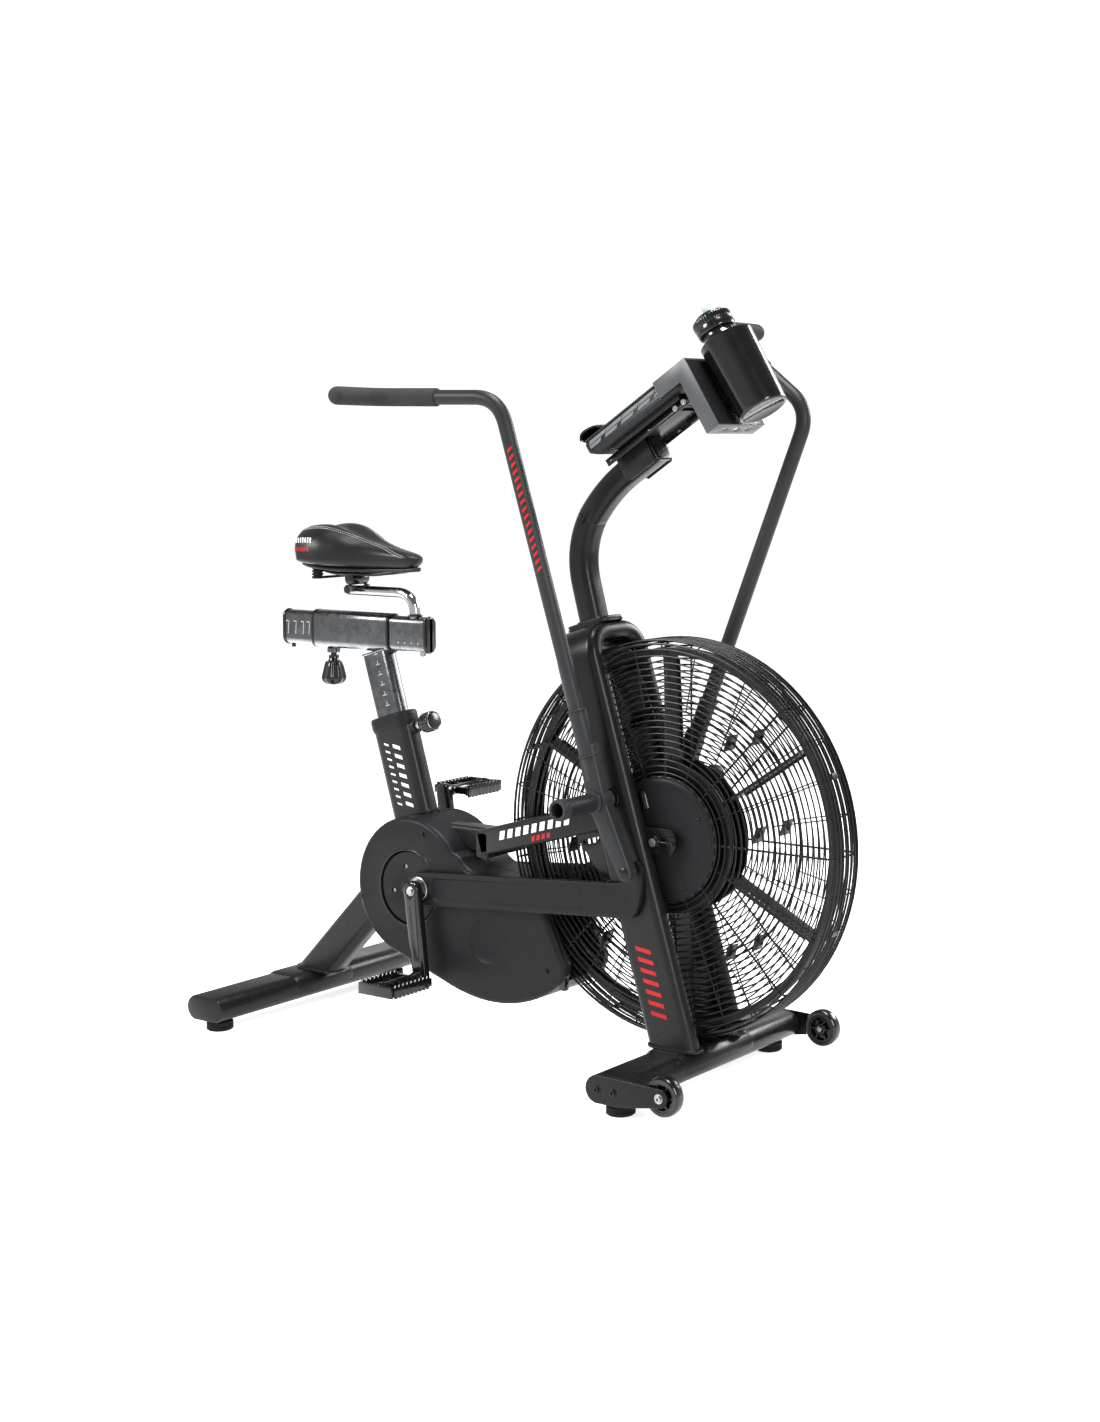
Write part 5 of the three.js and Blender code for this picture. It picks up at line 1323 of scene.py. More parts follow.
def make_axle_brackets():
    for side, sign in SIDES:
        edge = leg_x(FAN.z) + LEG["width"] / 2 / LEG_AXIS.z + 0.0012
        ahead = FAN.x - CRANK.x
        outline = shifted([(edge + 0.0070, FAN.z - 0.024), (ahead + 0.022, FAN.z - 0.024)]
                          + arc(ahead + 0.024, FAN.z - 0.010, 0.014, -pi / 2, 0, 8)
                          + arc(ahead + 0.024, FAN.z + 0.010, 0.014, 0, pi / 2, 8)
                          + [(edge - 0.008, FAN.z + 0.024)])
        slit = slab([(FAN.x - 0.0085, FAN.z - 0.0085), (FAN.x + 0.0085, FAN.z - 0.0085),
                     (FAN.x + 0.0085, FAN.z + 0.0085), (FAN.x - 0.0085, FAN.z + 0.0085)], -0.09, -0.05)
        plate = carve(slab(outline, -0.068, -0.062), slit)
        lug = tilted_box(Vector((FAN.x + 0.035, -0.0715, FAN.z)), (0.02, 0.0045, 0.018), UP)
        name = f"axle_bracket_{side}"
        make(name, on_side(merge(plate, lug), sign), "frame", "frame", [name], bevel=0.0012)
        where = FAN * FLAT
        acorn = [(0, 0.0678), (0.0135, 0.0678), (0.0135, 0.0694), (0.0092, 0.0694), (0.0092, 0.0735),
                 (0.0082, 0.0765), (0.006, 0.079), (0.003, 0.0802), (0, 0.0805)]
        screw = peg(0.0028, 0.031, (FAN.x + 0.0115, SCREW_Y, FAN.z), AHEAD, 16)
        nuts = [nut((FAN.x + x, SCREW_Y, FAN.z), AHEAD, 0.0058, 0.0045) for x in (0.0275, 0.0375)]
        collar = peg(0.0055, 0.004, (FAN.x + 0.0085, SCREW_Y, FAN.z), AHEAD, 20)
        make(f"{name}_hardware", on_side(merge(turned(acorn, where, RIGHTWARD, 32), screw, collar, *nuts,
                                               nut((FAN.x, -0.0694, FAN.z), RIGHTWARD, 0.0112, 0.0052)),
                                               sign), "frame", "bolt")
    foot = at(leg_x(0.51) + 0.058, 0.51, -0.052)
    sensor = merge(turned([(0, 0), (0.007, 0), (0.0078, 0.001), (0.0078, 0.03), (0.006, 0.034), (0, 0.034)],
                          foot, LEG_AXIS, 24),
                   tilted_box(foot + LEG_AXIS * 0.012 - LEG_FRONT * 0.010, (0.016, 0.012, 0.004), LEG_AXIS))
    make("speed_sensor", sensor, "frame", "gloss")


# ---- seat ----

SLIDER_Z = 0.799
SLIDER = dict(rear=-0.408, front=0.0, width=0.031, height=0.072, corner=0.014)
SLEEVE = dict(rear=-0.317, front=-0.103, width=0.038, top=0.839, bottom=0.759)
POST = dict(width=0.074, thick=0.033, corner=0.014)
SADDLE_POST_X = SLIDER["front"] - 0.043
KNOB_X = -0.273


def fore_aft(x0, x1, make_section, edge=0.002):
    return rounded_bar(at(x0, SLIDER_Z), at(x1, SLIDER_Z), make_section, edge, ACROSS)


def make_seat_post():
    width, thick, corner = POST["width"], POST["thick"], POST["corner"]
    tube = rounded_bar(seat_point(0.44), seat_point(0.7585),
                       lambda d: oval(width - 0.0002 - 2 * d, thick - 0.0002 - 2 * d, corner, 12), 0.0012,
                       SEAT_FRONT)
    make("seat_post", tube, "seat_post", "zinc", ["seat_post"])
    for side, sign in SIDES:
        ticks = []
        for i in range(6):
            spot = seat_point(0.650 + 0.0206 * i) + SEAT_FRONT * 0.006 + Vector((0, -thick / 2, 0))
            ticks.append(tilted_box(spot, (0.0015, 0.0005, 0.012), SEAT_AXIS))
            ticks.append(tilted_box(spot + SEAT_AXIS * 0.0042, (0.0078, 0.0005, 0.0014), SEAT_AXIS))
        make(f"seat_post_ticks_{side}", on_side(merge(*ticks), sign), "seat_post", "tick")
    loop = [seat_point(0.7585) + SEAT_FRONT * a + Vector((0, b, 0)) for a,
            b in oval(width + 0.001, thick + 0.001, corner, 12)]
    make("seat_post_weld", bead(densely(loop), 0.0023), "seat_post", "zinc")


def make_slider():
    height, corner = SLEEVE["top"] - SLEEVE["bottom"], SLIDER["corner"] + 0.0035
    body = fore_aft(SLEEVE["rear"], SLEEVE["front"],
                    lambda d: oval(SLEEVE["width"] - 2 * d, height - 2 * d, corner, 10), 0.001)
    clear, tall = SLIDER["width"] + 0.0006, SLIDER["height"] + 0.0015
    hollow = sweep([at(SLEEVE["rear"] - 0.01, SLIDER_Z), at(SLEEVE["front"] + 0.01, SLIDER_Z)],
                   oval(clear, tall, SLIDER["corner"] + 0.0003, 10), ACROSS)
    knob_hole = peg(0.0086, 0.06, at(KNOB_X, 0.74), UP, 24)
    make("slider_sleeve", carve(body, hollow, knob_hole), "seat_post", "zinc", ["slider_sleeve"], smooth=30)
    bands = []
    for x0, x1 in ((SLEEVE["rear"] - 0.0008, SLEEVE["rear"] + 0.0042),
                   (SLEEVE["front"] - 0.0042, SLEEVE["front"] + 0.0008)):
        outer = sweep([at(x0, SLIDER_Z), at(x1, SLIDER_Z)],
                      oval(SLEEVE["width"] + 0.0008, height + 0.0008, corner + 0.0004, 10), ACROSS)
        inner = sweep([at(x0 - 0.01, SLIDER_Z), at(x1 + 0.01, SLIDER_Z)],
                      oval(clear + 0.0001, tall, SLIDER["corner"] + 0.0003, 10), ACROSS)
        bands.append(carve(outer, inner))
    make("slider_sleeve_bands", merge(*bands), "seat_post", "gloss", slot="gloss_black", smooth=30)
    boss = turned(looped([(0.0088, 0), (0.0135, 0), (0.0135, 0.0085), (0.0088, 0.0085)]),
                  at(KNOB_X, SLEEVE["bottom"] - 0.0083), UP, 40)
    make("slider_sleeve_boss", boss, "seat_post", "zinc")

    wide, high = SLIDER["width"] - 0.0002, SLIDER["height"]
    tube = fore_aft(SLIDER["rear"] + 0.01, SLIDER["front"] - 0.007,
                    lambda d: oval(wide - 2 * d, high - 2 * d, SLIDER["corner"], 10))
    socket = peg(0.0113, 0.08, at(SADDLE_POST_X, 0.781), UP, 32)
    make("slider_tube", carve(tube, socket), "seat", "zinc", ["slider_tube"], smooth=30)
    for name, x0, x1 in (("rear", SLIDER["rear"], SLIDER["rear"] + 0.012),
                         ("front", SLIDER["front"] - 0.01, SLIDER["front"])):
        cap = fore_aft(x0, x1, lambda d: oval(0.033 - 2 * d, 0.076 - 2 * d, 0.016, 10), 0.0045)
        make(f"slider_cap_{name}", cap, "seat", "gloss")
    pin = turned([(0, 0), (0.0038, 0), (0.0045, 0.001), (0.0045, 0.0085), (0, 0.0085)],
                 at(SLIDER["rear"] + 0.018, 0.7555), UP, 20)
    make("slider_stop_pin", pin, "seat", "bolt")
    boss = turned([(0, 0), (0.0052, 0), (0.0068, 0.0016), (0.0068, 0.0085), (0, 0.0085)],
                  at(SLIDER["front"] - 0.022, 0.7555), UP, 28)
    make("slider_boss", boss, "seat", "steel")
    for side, sign in SIDES:
        ticks = []
        for x in (0.019, 0.041, 0.063, 0.080):
            spot = at(SLIDER["rear"] + x, SLIDER_Z, -SLIDER["width"] / 2 + 0.0001)
            ticks.append(tilted_box(spot, (0.028, 0.0005, 0.0018), (0.08, 0, 1)))
            ticks.append(tilted_box(spot + Vector((-0.0032, 0, 0.0128)), (0.002, 0.0005, 0.0085), UP))
        dots = [disc(at(SLIDER["front"] - 0.022 - 0.018 * i, 0).x, SLIDER_Z - 0.017, 0.0016, -wide / 2
                     + 0.0003, -wide / 2 - 0.0003, 0.0001, 12) for i in range(4)]
        make(f"slider_ticks_{side}", on_side(merge(*ticks, *dots), sign), "seat", "tick")
    latch = merge(turned([(0, 0), (0.0145, 0), (0.0152, 0.001), (0.0152, 0.0035), (0.0115, 0.0035),
                          (0.0115, 0.006), (0, 0.006)], at(SADDLE_POST_X, 0.8348), UP, 40))
    make("saddle_post_collar", carve(latch, turned([(0, -0.01), (0.0111, -0.01), (0.0111, 0.03), (0, 0.03)],
                                                   at(SADDLE_POST_X, 0.8348), UP, 32)), "seat", "gloss")


def fluted(profile, place, axis, lobes, depth, span):
    """A turned knob with flutes pressed in between two heights."""
    corners, faces = turned(profile, place, axis, lobes * 12)
    place, axis = Vector(place), Vector(axis).normalized()
    side = axis.orthogonal().normalized()
    other = axis.cross(side)
    result = []
    for corner in corners:
        height = (corner - place).dot(axis)
        out = corner - place - axis * height
        if span[0] < height < span[1] and out.length > 0.012:
            angle = atan2(out.dot(other), out.dot(side))
            out = out * (1 - depth * (0.5 - 0.5 * cos(angle * lobes)) ** 1.5 / out.length)
        result.append(place + axis * height + out)
    return result, faces


def make_knobs():
    place = at(KNOB_X, 0.7625)
    profile = [(0, 0), (0.006, 0), (0.006, 0.018), (0.0105, 0.018), (0.0105, 0.0268), (0.0118, 0.028),
               (0.0118, 0.0296), (0.0158, 0.0306), (0.0182, 0.0336), (0.0204, 0.042), (0.0228, 0.052),
               (0.0248, 0.06), (0.0257, 0.0652), (0.025, 0.0702), (0.0216, 0.0748), (0.016, 0.0782),
               (0.008, 0.0798), (0, 0.08)]
    make("slider_knob", fluted(profile, place, DOWN, 6, 0.004, (0.033, 0.076)), "slider_knob", "gloss",
         ["slider_knob"], smooth=60)
    start = seat_point(0.596) + Vector((0.039, 0, 0.039 * SEAT["lean"]))
    axis = Vector((1, 0, SEAT["lean"])).normalized()
    grip = [(0, 0), (0.006, 0), (0.006, 0.0215), (0.0105, 0.0215), (0.0105, 0.033), (0.014, 0.0345),
            (0.0185, 0.0375), (0.0208, 0.042), (0.0212, 0.047), (0.0212, 0.06), (0.0204, 0.0635),
            (0.0185, 0.0652), (0.0178, 0.0646), (0.0172, 0.0652), (0.014, 0.066), (0, 0.0662)]
    make("height_knob", fluted(grip, start, axis, 12, 0.0012, (0.043, 0.0605)), "height_knob", "gloss",
         ["height_knob"], smooth=50)
    ring = looped([(0.0105, 0.0236), (0.0128, 0.0236), (0.0132, 0.0242), (0.0132, 0.0312),
                   (0.0105, 0.0312)])
    face = looped([(0.0181, 0.0648), (0.0192, 0.0640), (0.0203, 0.0647), (0.0192, 0.0662)])
    make("height_knob_rings", merge(turned(ring, start, axis, 40), turned(face, start, axis, 48)),
         "height_knob", "steel")


SADDLE_Z = 0.882
RAIL_Z = 0.918
CLAMP_X = -0.204


def make_saddle_mount():
    path = bent([at(SADDLE_POST_X, 0.785), at(SADDLE_POST_X, SADDLE_Z), at(CLAMP_X - 0.02, SADDLE_Z)],
                (0.048,), 18)
    tail = path[-1]
    radii = [0.011] * len(path)
    for step in range(1, 5):
        angle = step * pi / 10
        path.append(tail - Vector((0.003 * sin(angle), 0, 0)))
        radii.append(0.011 - 0.0035 * (1 - cos(angle)))
    make("saddle_post", sweep(path, [circle(r, 40) for r in radii], ACROSS), "seat", "chrome",
         ["saddle_post"])
    middle = at(CLAMP_X, SADDLE_Z)
    jaw = merge(disc_across(middle + Vector((0, 0, 0.004)), 0.0195, 0.0185, 0.003),
                disc_across(middle + Vector((0, 0, 0.025)), 0.0125, 0.024, 0.002))
    block = rounded_bar(middle + Vector((0, 0, -0.019)), middle + Vector((0, 0, 0.028)),
                        lambda d: oval(0.036 - 2 * d, 0.034 - 2 * d, 0.007, 5), 0.003, AHEAD)
    tunnel = peg(0.0112, 0.2, at(CLAMP_X - 0.09, SADDLE_Z), AHEAD, 32)
    make("saddle_clamp", carve(merge(block, jaw), tunnel), "seat", "gloss", ["saddle_clamp"], smooth=30)
    top = merge(*[rounded_bar(at(CLAMP_X - 0.029, RAIL_Z - 0.0005, y),
                              at(CLAMP_X + 0.029, RAIL_Z - 0.0005, y),
                              lambda d: oval(0.015 - 2 * d, 0.0125 - 2 * d, 0.005, 5), 0.002)
                              for y in (-0.022, 0.022)])
    grooves = [peg(0.0041, 0.1, at(CLAMP_X - 0.05, RAIL_Z, y), AHEAD, 20) for y in (-0.022, 0.022)]
    make("saddle_clamp_jaws", carve(top, *grooves), "seat", "gloss")
    bolt = merge(turned([(0, -0.032), (0.006, -0.032), (0.006, 0.032), (0, 0.032)], middle
                        + Vector((0, 0, 0.004)), ACROSS, 24),
                        nut(middle + Vector((0, 0.0245, 0.004)), ACROSS, 0.0095, 0.007),
                        nut(middle + Vector((0, -0.0245, 0.004)), RIGHTWARD, 0.0095, 0.007))
    make("saddle_clamp_bolt", bolt, "seat", "bolt")
    rails = []
    for sign in (-1, 1):
        y = 0.022 * sign
        path = bent([at(-0.0485, 0.937, y * 0.35), at(-0.0725, 0.9255, y * 0.5), at(-0.1345, RAIL_Z, y),
                     at(-0.2495, RAIL_Z, y), at(-0.2825, 0.9275, y * 1.4), at(-0.3005, 0.934, y * 2.1)],
                    (0.008, 0.016, 0.016, 0.01), 6)
        rails.append(sweep(path, circle(0.0037, 16), ACROSS))
    make("saddle_rails", merge(*rails), "seat", "bolt", ["saddle_rails"], slot="steel")
    springs = []
    for sign in (-1, 1):
        base = at(-0.2765, 0.9065, 0.040 * sign)
        ribs = [(0.0, 0.0), (0.0095, 0.0)]
        for i in range(4):
            low = 0.0005 + i * 0.0062
            ribs += [(0.0118, low + 0.0012), (0.0118, low + 0.0038), (0.0092, low + 0.005),
                     (0.0092, low + 0.0062)]
        ribs += [(0.0118, 0.0265), (0.0, 0.0265)]
        springs.append(turned(ribs, base, UP, 32))
    strap = rounded_bar(at(-0.2765, 0.9085, -0.048), at(-0.2765, 0.9085, 0.048),
                        lambda d: oval(0.02 - 2 * d, 0.004 - 2 * d * 0.4, 0.0015, 4), 0.002, AHEAD)
    make("saddle_bumpers", merge(*springs, strap), "seat", "rubber", slot="gloss_black")


def disc_across(middle, radius, half, edge):
    profile = [(0, -half), (radius - edge, -half), (radius - edge * 0.3, -half + edge * 0.3),
               (radius, -half + edge), (radius, half - edge), (radius - edge * 0.3, half - edge * 0.3),
               (radius - edge, half), (0, half)]
    return turned(profile, middle, ACROSS, 48)


# The saddle: control values at stations from the rear lobes to the nose.
SADDLE = dict(rear=-0.3165, nose=-0.0305, middle=0.953)
STATIONS = (0.0, 0.10, 0.25, 0.40, 0.56, 0.72, 0.88, 1.0)
HALF_WIDTH = (0.084, 0.094, 0.095, 0.079, 0.052, 0.034, 0.025, 0.019)
TOP = (1.007, 1.018, 1.021, 1.008, 0.990, 0.976, 0.966, 0.958)
BOTTOM = (0.943, 0.937, 0.933, 0.931, 0.930, 0.930, 0.931, 0.934)
CHANNEL = (0.016, 0.016, 0.014, 0.011, 0.006, 0.0025, 0.0005, 0.0)
SEAM = (0.54, 0.57, 0.62, 0.66, 0.69, 0.62, 0.18, 0.02)


def through(values, t):
    """A smooth curve through the station values."""
    i = max(k for k in range(len(STATIONS) - 1) if STATIONS[k] <= max(0.0, min(t, 0.9999)))
    slopes = []
    for k in (i, i + 1):
        low, high = max(k - 1, 0), min(k + 1, len(STATIONS) - 1)
        slopes.append((values[high] - values[low]) / (STATIONS[high] - STATIONS[low]))
    span = STATIONS[i + 1] - STATIONS[i]
    u = (t - STATIONS[i]) / span
    return ((2 * u ** 3 - 3 * u ** 2 + 1) * values[i] + (u ** 3 - 2 * u ** 2 + u) * span * slopes[0]
            + (3 * u ** 2 - 2 * u ** 3) * values[i + 1] + (u ** 3 - u ** 2) * span * slopes[1])


def saddle_point(t, angle, lift=0.0):
    """A point on the saddle: t from rear to nose, the angle from the rider's left over the top."""
    swell = min(1, t / 0.13) if t < 0.5 else min(1, (1 - t) / 0.09)
    full = sqrt(max(0.0, 1 - (1 - swell) ** 2))
    half = through(HALF_WIDTH, t) * (0.25 + 0.75 * full) if t < 0.5 else through(HALF_WIDTH,
                                                                                 t) * (0.12 + 0.88 * full)
    sine, cosine = sin(angle), cos(angle)
    y = half * copysign(abs(cosine) ** 0.86, cosine)
    if sine >= 0:
        channel = through(CHANNEL, t) * exp(-(y / (0.010 + 0.15 * half)) ** 2)
        outer = 1 + 0.05 * (1 - abs(cosine)) * min(1, t * 4)
        rise = (through(TOP, t) - SADDLE["middle"]) * full * outer - channel * full
        z = SADDLE["middle"] + rise * sine ** 0.72
        away = abs(acos(min(1, abs(cosine))) - through(SEAM, t) * pi / 2)
        z -= 0.0011 * exp(-(away / 0.022) ** 2)
    else:
        z = SADDLE["middle"] + (SADDLE["middle"] - through(BOTTOM, t)) * full * -abs(sine) ** 0.55
        y *= 1 - 0.10 * abs(sine) ** 2
    lean = 0.016 * (1 - min(1, t / 0.3)) * (z - SADDLE["middle"]) / 0.05
    x = SADDLE["rear"] + (SADDLE["nose"] - SADDLE["rear"]) * t - max(0.0, lean) + 0.003
    point = at(x, z, y)
    if lift:
        a = saddle_point(t, angle + 0.01) - saddle_point(t, angle - 0.01)
        b = saddle_point(min(1, t + 0.005), angle) - saddle_point(max(0, t - 0.005), angle)
        normal = a.cross(b).normalized()
        middle = at(x, SADDLE["middle"], 0)
        point += normal * lift * (1 if normal.dot(point - middle) > 0 else -1)
    return point


SEAM_START, SEAM_END = 0.045, 0.90


def seam_path(side, offset, count=230):
    """Points along a seam, a given distance round the section from it."""
    points = []
    for i in range(count + 1):
        t = SEAM_START + (SEAM_END - SEAM_START) * i / count
        half = through(HALF_WIDTH, t)
        angle = through(SEAM, t) * pi / 2 + offset / max(0.02, half * 0.8)
        points.append(saddle_point(t, angle if side > 0 else pi - angle, 0.0004))
    return points


def stitches(path, length, gap, radius):
    """Short raised threads laid one after another along a path."""
    shapes, travelled, start = [], 0.0, None
    for a, b in zip(path, path[1:]):
        if start is None:
            start = a
        travelled += (b - a).length
        if travelled >= length:
            way = (b - start).normalized()
            ends = [start - way * 0.0001, start + way * 0.0004, b - way * 0.0004, b + way * 0.0001]
            shapes.append(sweep(ends, [circle(r, 6) for r in (radius * 0.3, radius, radius, radius * 0.3)],
                                (0.2, 0.9, 0.3)))
            start, travelled = None, -gap
        elif travelled <= 0:
            start = None
    return merge(*shapes)


def make_saddle():
    count, around = 96, 120
    rings = []
    for i in range(count + 1):
        t = 0.5 - 0.5 * cos(pi * i / count)
        rings.append([saddle_point(t, 2 * pi * k / around) for k in range(around)])
    saddle = make("saddle", shell(rings), "seat", "vinyl", ["saddle"], smooth=60)
    rows = []
    for side in (-1, 1):
        for offset in (-0.0032, 0.0032):
            rows.append(stitches(seam_path(side, offset), 0.0030, 0.0012, 0.0006))
    make("saddle_stitching", merge(*rows), "seat", "thread")
    piping = []
    for side in (-1, 1):
        piping.append(sweep(seam_path(side, 0.0, count=120), circle(0.0006, 6), (0.2, 0.9, 0.3)))
    make("saddle_piping", merge(*piping), "seat", "vinyl")
    base_rings = []
    for i in range(41):
        t = 0.03 + 0.93 * i / 40
        low = through(BOTTOM, t)
        half = through(HALF_WIDTH, t) * 0.64
        base_rings.append([at(SADDLE["rear"] + (SADDLE["nose"] - SADDLE["rear"]) * t + 0.003, low - 0.0025
                              + b, a) for a, b in oval(2 * half, 0.009, 0.004, 5)])
    make("saddle_base", shell(base_rings), "seat", "console")
    for side, sign in SIDES:
        patches = {"white": [], "red": []}
        for look, low, high, first, number in (("white", 0.50, 0.33, 0.06, 9),
                                               ("red", 0.20, 0.10, 0.07, 8)):
            for k in range(number):
                t = first + 0.021 * k
                quads = []
                for j in range(5):
                    angle = low + (high - low) * j / 4
                    lean = 0.012 * j / 4
                    quads.append([saddle_point(t + lean + w, angle, lift) for w, lift in
                                  ((0.0, -0.0004), (0.009, -0.0004), (0.009, 0.00035), (0.0, 0.00035))])
                if sign < 0:
                    quads = [[Vector((q.x, -q.y, q.z)) for q in ring] for ring in quads]
                patches[look].append(shell(quads))
        for look, shapes in patches.items():
            make(f"saddle_marks_{look}_{side}", merge(*shapes), "seat", look, slot="vinyl")


# ---- console, bottle holder and bottle ----

def console_slab(points, y0, y1):
    outline = [(p.x, p.z) for p in (on_console(s, n) for s, n in points)]
    return slab(outline, y0, y1)


def console_box(s0, s1, n0, n1, y0, y1):
    return console_slab([(s0, n0), (s1, n0), (s1, n1), (s0, n1)], y0, y1)


SCREEN = dict(start=0.092, end=0.228, half=0.052)


def make_console():
    half, length = CONSOLE["half"], CONSOLE["length"]
    upper = console_slab([(0.003, 0), (length, 0), (length, -0.0045), (0.002, -0.0045)], -half, half)
    make("console_bezel", upper, "frame", "console", bevel=0.0022)
    middle = console_slab([(0.0025, -0.0055), (length - 0.001, -0.0055), (length - 0.001, -0.038),
                           (0.016, -0.038), (0.0005, -0.026), (0.0, -0.0095)], -half + 0.001, half - 0.001)
    join_line = console_box(0.006, length - 0.004, -0.007, -0.003, -half + 0.004, half - 0.004)
    make("console", merge(middle, join_line), "frame", "console", ["console"], bevel=0.003)
    belly = console_slab([(0.038, -0.037), (length - 0.02, -0.037), (length - 0.024, -0.0475),
                          (0.046, -0.0475)], -half + 0.014, half - 0.014)
    make("console_belly", belly, "frame", "console", bevel=0.002)
    ribs = [console_box(0.06 + 0.017 * i, 0.064 + 0.017 * i, -0.049, -0.047, -0.044, 0.044)
            for i in range(9)]
    make("console_belly_ribs", merge(*ribs), "frame", "console", bevel=0.0006, rounds=2)
    start, end, side = SCREEN["start"], SCREEN["end"], SCREEN["half"]
    screen = console_box(start, end, -0.001, 0.0008, -side, side)
    make("console_screen", screen, "frame", "screen", bevel=0.0007)
    frame_out = console_box(0.087, 0.233, -0.001, 0.0016, -0.057, 0.057)
    frame_in = console_box(start, end, -0.01, 0.01, -side, side)
    make("console_screen_frame", carve(frame_out, frame_in), "frame", "gloss", bevel=0.0005, rounds=2)
    keys = []
    for s in (0.030, 0.052, 0.074):
        for y in (-0.048, -0.024, 0.0, 0.024, 0.048):
            keys.append(sweep([on_console(s, -0.001, y), on_console(s, 0.0012, y),
                               on_console(s, 0.0018, y)],
                               [oval(0.018, 0.011, 0.0045, 4), oval(0.018, 0.011, 0.0045, 4),
                                oval(0.016, 0.009, 0.0036, 4)], ACROSS))
    make("console_keys", merge(*keys), "frame", "rubber", slot="console_black")
    for side, sign in SIDES:
        blocks = []
        y = -half + 0.0002
        steps = 5
        start, end = 0.010, length - 0.010
        pitch = (end - start) / steps
        for i in range(steps):
            s0, s1 = start + pitch * i, start + pitch * (i + 1) - 0.0012
            blocks.append(console_slab([(s0 + 0.004, -0.0075), (s1 + 0.004, -0.0075), (s1 - 0.001, -0.0140),
                                        (s0 - 0.001, -0.0140)], y - 0.0009, y + 0.002))
            blocks.append(console_slab([(s0 - 0.001, -0.0153), (s0 + pitch * 0.7, -0.0153),
                                        (s0 + pitch * 0.7 - 0.006, -0.0214),
                                        (s0 - 0.007 + (0.007 if i == 0 else 0), -0.0214)], y - 0.0009, y
                                        + 0.002))
        make(f"console_band_{side}", on_side(merge(*blocks), sign), "frame", "band", bevel=0.0004, rounds=2)
        lower = console_slab([(0.016, -0.0225), (length - 0.004, -0.0225), (length - 0.006, -0.0355),
                              (0.022, -0.0355)], y - 0.0007, y + 0.002)
        line = console_slab([(0.030, -0.0305), (length - 0.012, -0.0305), (length - 0.012, -0.0318),
                             (0.030, -0.0318)], y - 0.0014, y + 0.001)
        make(f"console_side_{side}", on_side(merge(lower, line), sign), "frame", "console", bevel=0.0004,
             rounds=2)
    lip_curve = [(-0.012, 0.008)] + quad((-0.012, 0.008), (-0.010, 0.021), (0.004, 0.0215), 6) + \
        quad((0.004, 0.0215), (0.036, 0.021), (0.058, 0.0), 8)
    under = [(0.050, -0.0005), (0.030, 0.0145), (0.004, 0.0178), (-0.006, 0.015), (-0.0082, 0.008),
             (0.003, -0.0005)]
    make("console_lip", console_slab(lip_curve + under, -0.061, 0.061), "frame", "gloss", bevel=0.001)
    strip = console_slab([(-0.0126, 0.0075), (-0.0108, 0.0075), (-0.0025, 0.0005), (-0.0045, 0.0)], -0.060,
                         0.060)
    make("console_lip_edge", strip, "frame", "tick", bevel=0.0005, rounds=2, slot="steel")
    gasket = console_box(0.004, length - 0.003, -0.0058, -0.0042, -half + 0.0018, half - 0.0018)
    make("console_gasket", gasket, "frame", "rubber", slot="console_black")


def make_console_bracket():
    top = console_box(0.020, 0.190, -0.053, -0.0483, -0.046, 0.046)
    rails = [console_box(0.012, 0.238, -0.0555, -0.0485, y - 0.0035, y + 0.0035) for y in (-0.0455, 0.0455)]
    flanges = [console_box(0.012, 0.238, -0.0625, -0.0485, y - 0.0012, y + 0.0012)
               for y in (-0.0478, 0.0478)]
    cheeks = [console_slab([(0.020, -0.050), (0.0975, -0.050), (0.0975, -0.098), (0.0935, -0.1025),
                            (0.030, -0.1025), (0.020, -0.09)], y - 0.0014, y + 0.0014)
                            for y in (-0.0268, 0.0268)]
    arms = [console_slab([(0.150, -0.049), (0.2355, -0.049), (0.2355, -0.062), (0.158, -0.062)], y - 0.002,
                         y + 0.002) for y in (-0.044, 0.044)]
    make("console_bracket", merge(top, *rails, *flanges, *cheeks, *arms), "frame", "frame",
         ["console_bracket"], bevel=0.0008, rounds=2)
    bolts = []
    for side in (-1, 1):
        for s in (0.024, 0.128, 0.226):
            bolts.append(bolt_head(on_console(s, -0.0556, side * 0.0455), -OUTWARD, 0.0034, 0.003))
        for s in (0.2, 0.222):
            bolts.append(bolt_head(on_console(s, -0.0552, side * 0.049), (0, side, 0), 0.0036, 0.003))
    make("console_bracket_bolts", merge(*bolts), "frame", "steel")


HOLDER = dict(front=0.281, back=0.279, rear=0.249, foot=-0.141, half=0.0735)


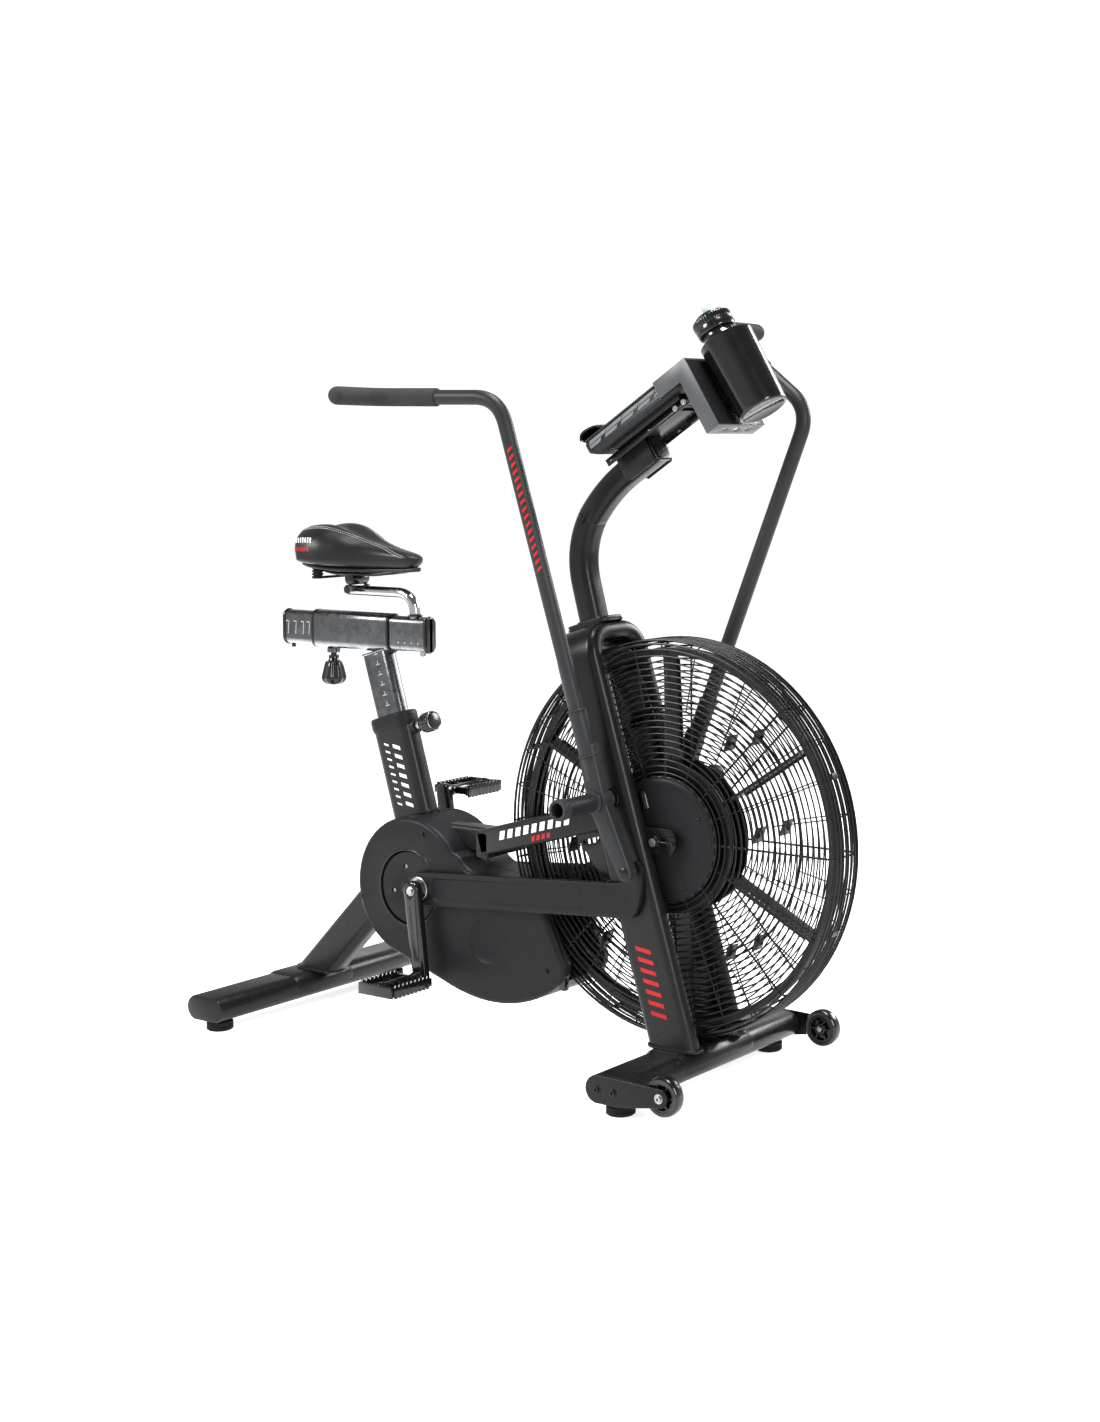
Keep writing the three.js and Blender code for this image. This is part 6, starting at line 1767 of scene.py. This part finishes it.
def make_bottle_bracket():
    front, back, rear, low = HOLDER["front"], HOLDER["back"], HOLDER["rear"], HOLDER["foot"]
    half = HOLDER["half"]
    panel = console_box(back, front, low, -0.002, -half, half)
    floor = console_box(rear, front, low, low + 0.002, -half, half)
    top = console_box(0.196, back + 0.001, 0.0006, 0.0026, -half, half)
    flange = [(0.196, 0.0025), (0.196, -0.031), (rear, -0.031), (rear, low), (front, low), (front, 0.0025)]
    sides = [console_slab(flange, y - 0.001, y + 0.001) for y in (-0.073, 0.073)]
    holes = [turned([(0, -0.01), (r, -0.01), (r, 0.01), (0, 0.01)], on_console(rear + 0.015, low, y),
                    OUTWARD, 24) for y, r in ((-0.034, 0.004), (0.0, 0.0065), (0.034, 0.004))]
    make("bottle_bracket", merge(top, *sides), "frame", "holder", ["bottle_bracket"], bevel=0.0009,
         rounds=2, smooth=30)
    make("bottle_bracket_floor", carve(floor, *holes), "frame", "holder", bevel=0.0005, rounds=2, smooth=30)
    make("bottle_bracket_panel", panel, "frame", "frame", bevel=0.0006, rounds=2)
    heads = [bolt_head(on_console(front, n, y), UPHILL, 0.0042, 0.0035) for n in (-0.03, -0.105)
             for y in (-0.018, 0.018)]
    clamp = console_box(front - 0.001, front + 0.0014, -0.118, -0.018, -0.016, 0.016)
    make("bottle_bracket_pad", clamp, "frame", "rubber", bevel=0.002, slot="gloss_black")
    make("bottle_bracket_bolts", merge(*heads), "frame", "bolt")


CUP = dict(s=0.334, bottom=-0.145)
BOTTLE_S = CUP["s"] - 0.008


def make_cup():
    base = on_console(CUP["s"], CUP["bottom"])
    profile = [(0, 0.0012), (0.039, 0.0012), (0.0405, 0), (0.0435, 0), (0.0458, 0.0008), (0.0471, 0.0028),
               (0.0475, 0.006), (0.0516, 0.1490), (0.0519, 0.1507), (0.0518, 0.1522), (0.0510, 0.1529),
               (0.0500, 0.1525), (0.0495, 0.1507), (0.0452, 0.004), (0.043, 0.0032), (0, 0.0032)]
    make("cup", turned(profile, base, OUTWARD, 96), "frame", "gloss", ["cup"], smooth=40)
    bars = []
    for row in range(3):
        for k in range(4 - row):
            rings = []
            for j in range(5):
                angle = radians(-52 + 7 * k + 3.5 * row + 1.25 * j)
                out = UPHILL * cos(angle) + Vector(ACROSS) * sin(angle)
                height = 0.086 - 0.011 * row + 0.001 * j
                radius = 0.0475 + 0.0041 * height / 0.149
                rings.append([base + OUTWARD * (height + h) + out * (radius + d) for h, d in
                              ((0, -0.0006), (0.0075, -0.0005), (0.0075, 0.0005), (0, 0.0004))])
            bars.append(shell(rings))
    make("cup_marks", merge(*bars), "frame", "gloss")


def make_bottle():
    base = on_console(BOTTLE_S, CUP["bottom"] + 0.0033)
    body = [(0, 0.0), (0.030, 0.0), (0.0335, 0.0015), (0.035, 0.0045), (0.0358, 0.02), (0.0359, 0.112),
            (0.0345, 0.116), (0.0345, 0.128), (0.0359, 0.132), (0.0359, 0.152), (0.0345, 0.158),
            (0.0315, 0.162), (0.0312, 0.1685), (0, 0.1685)]
    make("bottle", turned(body, base, OUTWARD, 72), "bottle", "screen", ["bottle"], slot="gloss_black",
         smooth=40)
    lower = [(0, 0.1688), (0.0335, 0.1688), (0.0362, 0.1705), (0.0368, 0.174), (0.0372, 0.1825),
             (0.0362, 0.1845), (0.0362, 0.1858), (0.0376, 0.1870), (0.0380, 0.1905), (0.0380, 0.1975),
             (0.0370, 0.2005), (0.0335, 0.2025), (0.030, 0.2032), (0.0295, 0.2058), (0.028, 0.2072),
             (0.0125, 0.2080), (0.0118, 0.2105), (0, 0.2105)]
    cap = fluted(lower, base, OUTWARD, 40, 0.0007, (0.1880, 0.1995))
    make("bottle_cap", cap, "bottle", "gloss", smooth=50)
    dents = []
    for i in range(5):
        angle = 2 * pi * (i + 0.3) / 5
        side = UPHILL * cos(angle) + Vector(ACROSS) * sin(angle)
        dents.append(turned([(0, 0), (0.0048, 0), (0.0052, 0.0006), (0.0044, 0.0014), (0, 0.0017)],
                            base + OUTWARD * 0.1775 + side * 0.0362, side, 20))
    make("bottle_cap_studs", merge(*dents), "bottle", "gloss")
    foot = base + OUTWARD * 0.2103
    stops = [(0, 0.0165, 0.0105), (0.0015, 0.0178, 0.0122), (0.0165, 0.0174, 0.0116),
             (0.0195, 0.0158, 0.0102), (0.0212, 0.0120, 0.0070)]
    spout = sweep([foot + OUTWARD * d for d, _, _ in stops], [oval(w, h, h * 0.42, 6) for _, w, h in stops],
                  ACROSS)
    make("bottle_spout", spout, "bottle", "spout")


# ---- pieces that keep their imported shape, floor and finish ----

KEPT = {
    "crank_shell": "frame", "crank_axle": "steel", "crank_pulley": "bolt", "jackshaft": "bolt",
    "crank_belt": "belt", "fan_belt": "belt", "fan_axle": "steel",
}


def dress_kept_nodes():
    for name, look in KEPT.items():
        obj = frame["nodes"][name]
        obj.data.materials.clear()
        obj.data.materials.append(LOOK[look])


def make_floor():
    size = 30.0
    mesh = bpy.data.meshes.new("floor")
    mesh.from_pydata([(-size, -size, 0), (size, -size, 0), (size, size, 0), (-size, size, 0)], [],
                     [(0, 1, 2, 3)])
    floor = bpy.data.objects.new("floor", mesh)
    paper = LOOK["floor"].node_tree.nodes["Principled BSDF"]
    paper.inputs["Emission Color"].default_value = (1, 1, 1, 1)
    paper.inputs["Emission Strength"].default_value = 0.72
    mesh.materials.append(LOOK["floor"])
    bpy.context.scene.collection.objects.link(floor)


make_camera()
make_studio()
make_stabilisers()
make_feet()
make_wheels()
make_fork()
make_fork_marks()
make_seat_tube()
make_rear_leg()
make_beam()
make_neck()
make_covers()
make_cranks()
make_pedals()
make_rods()
make_handles()
make_foot_pegs()
make_cage()
make_fan()
make_hub_covers()
make_axle_brackets()
make_seat_post()
make_slider()
make_knobs()
make_saddle_mount()
make_saddle()
make_console()
make_console_bracket()
make_bottle_bracket()
make_cup()
make_bottle()
dress_kept_nodes()
make_floor()
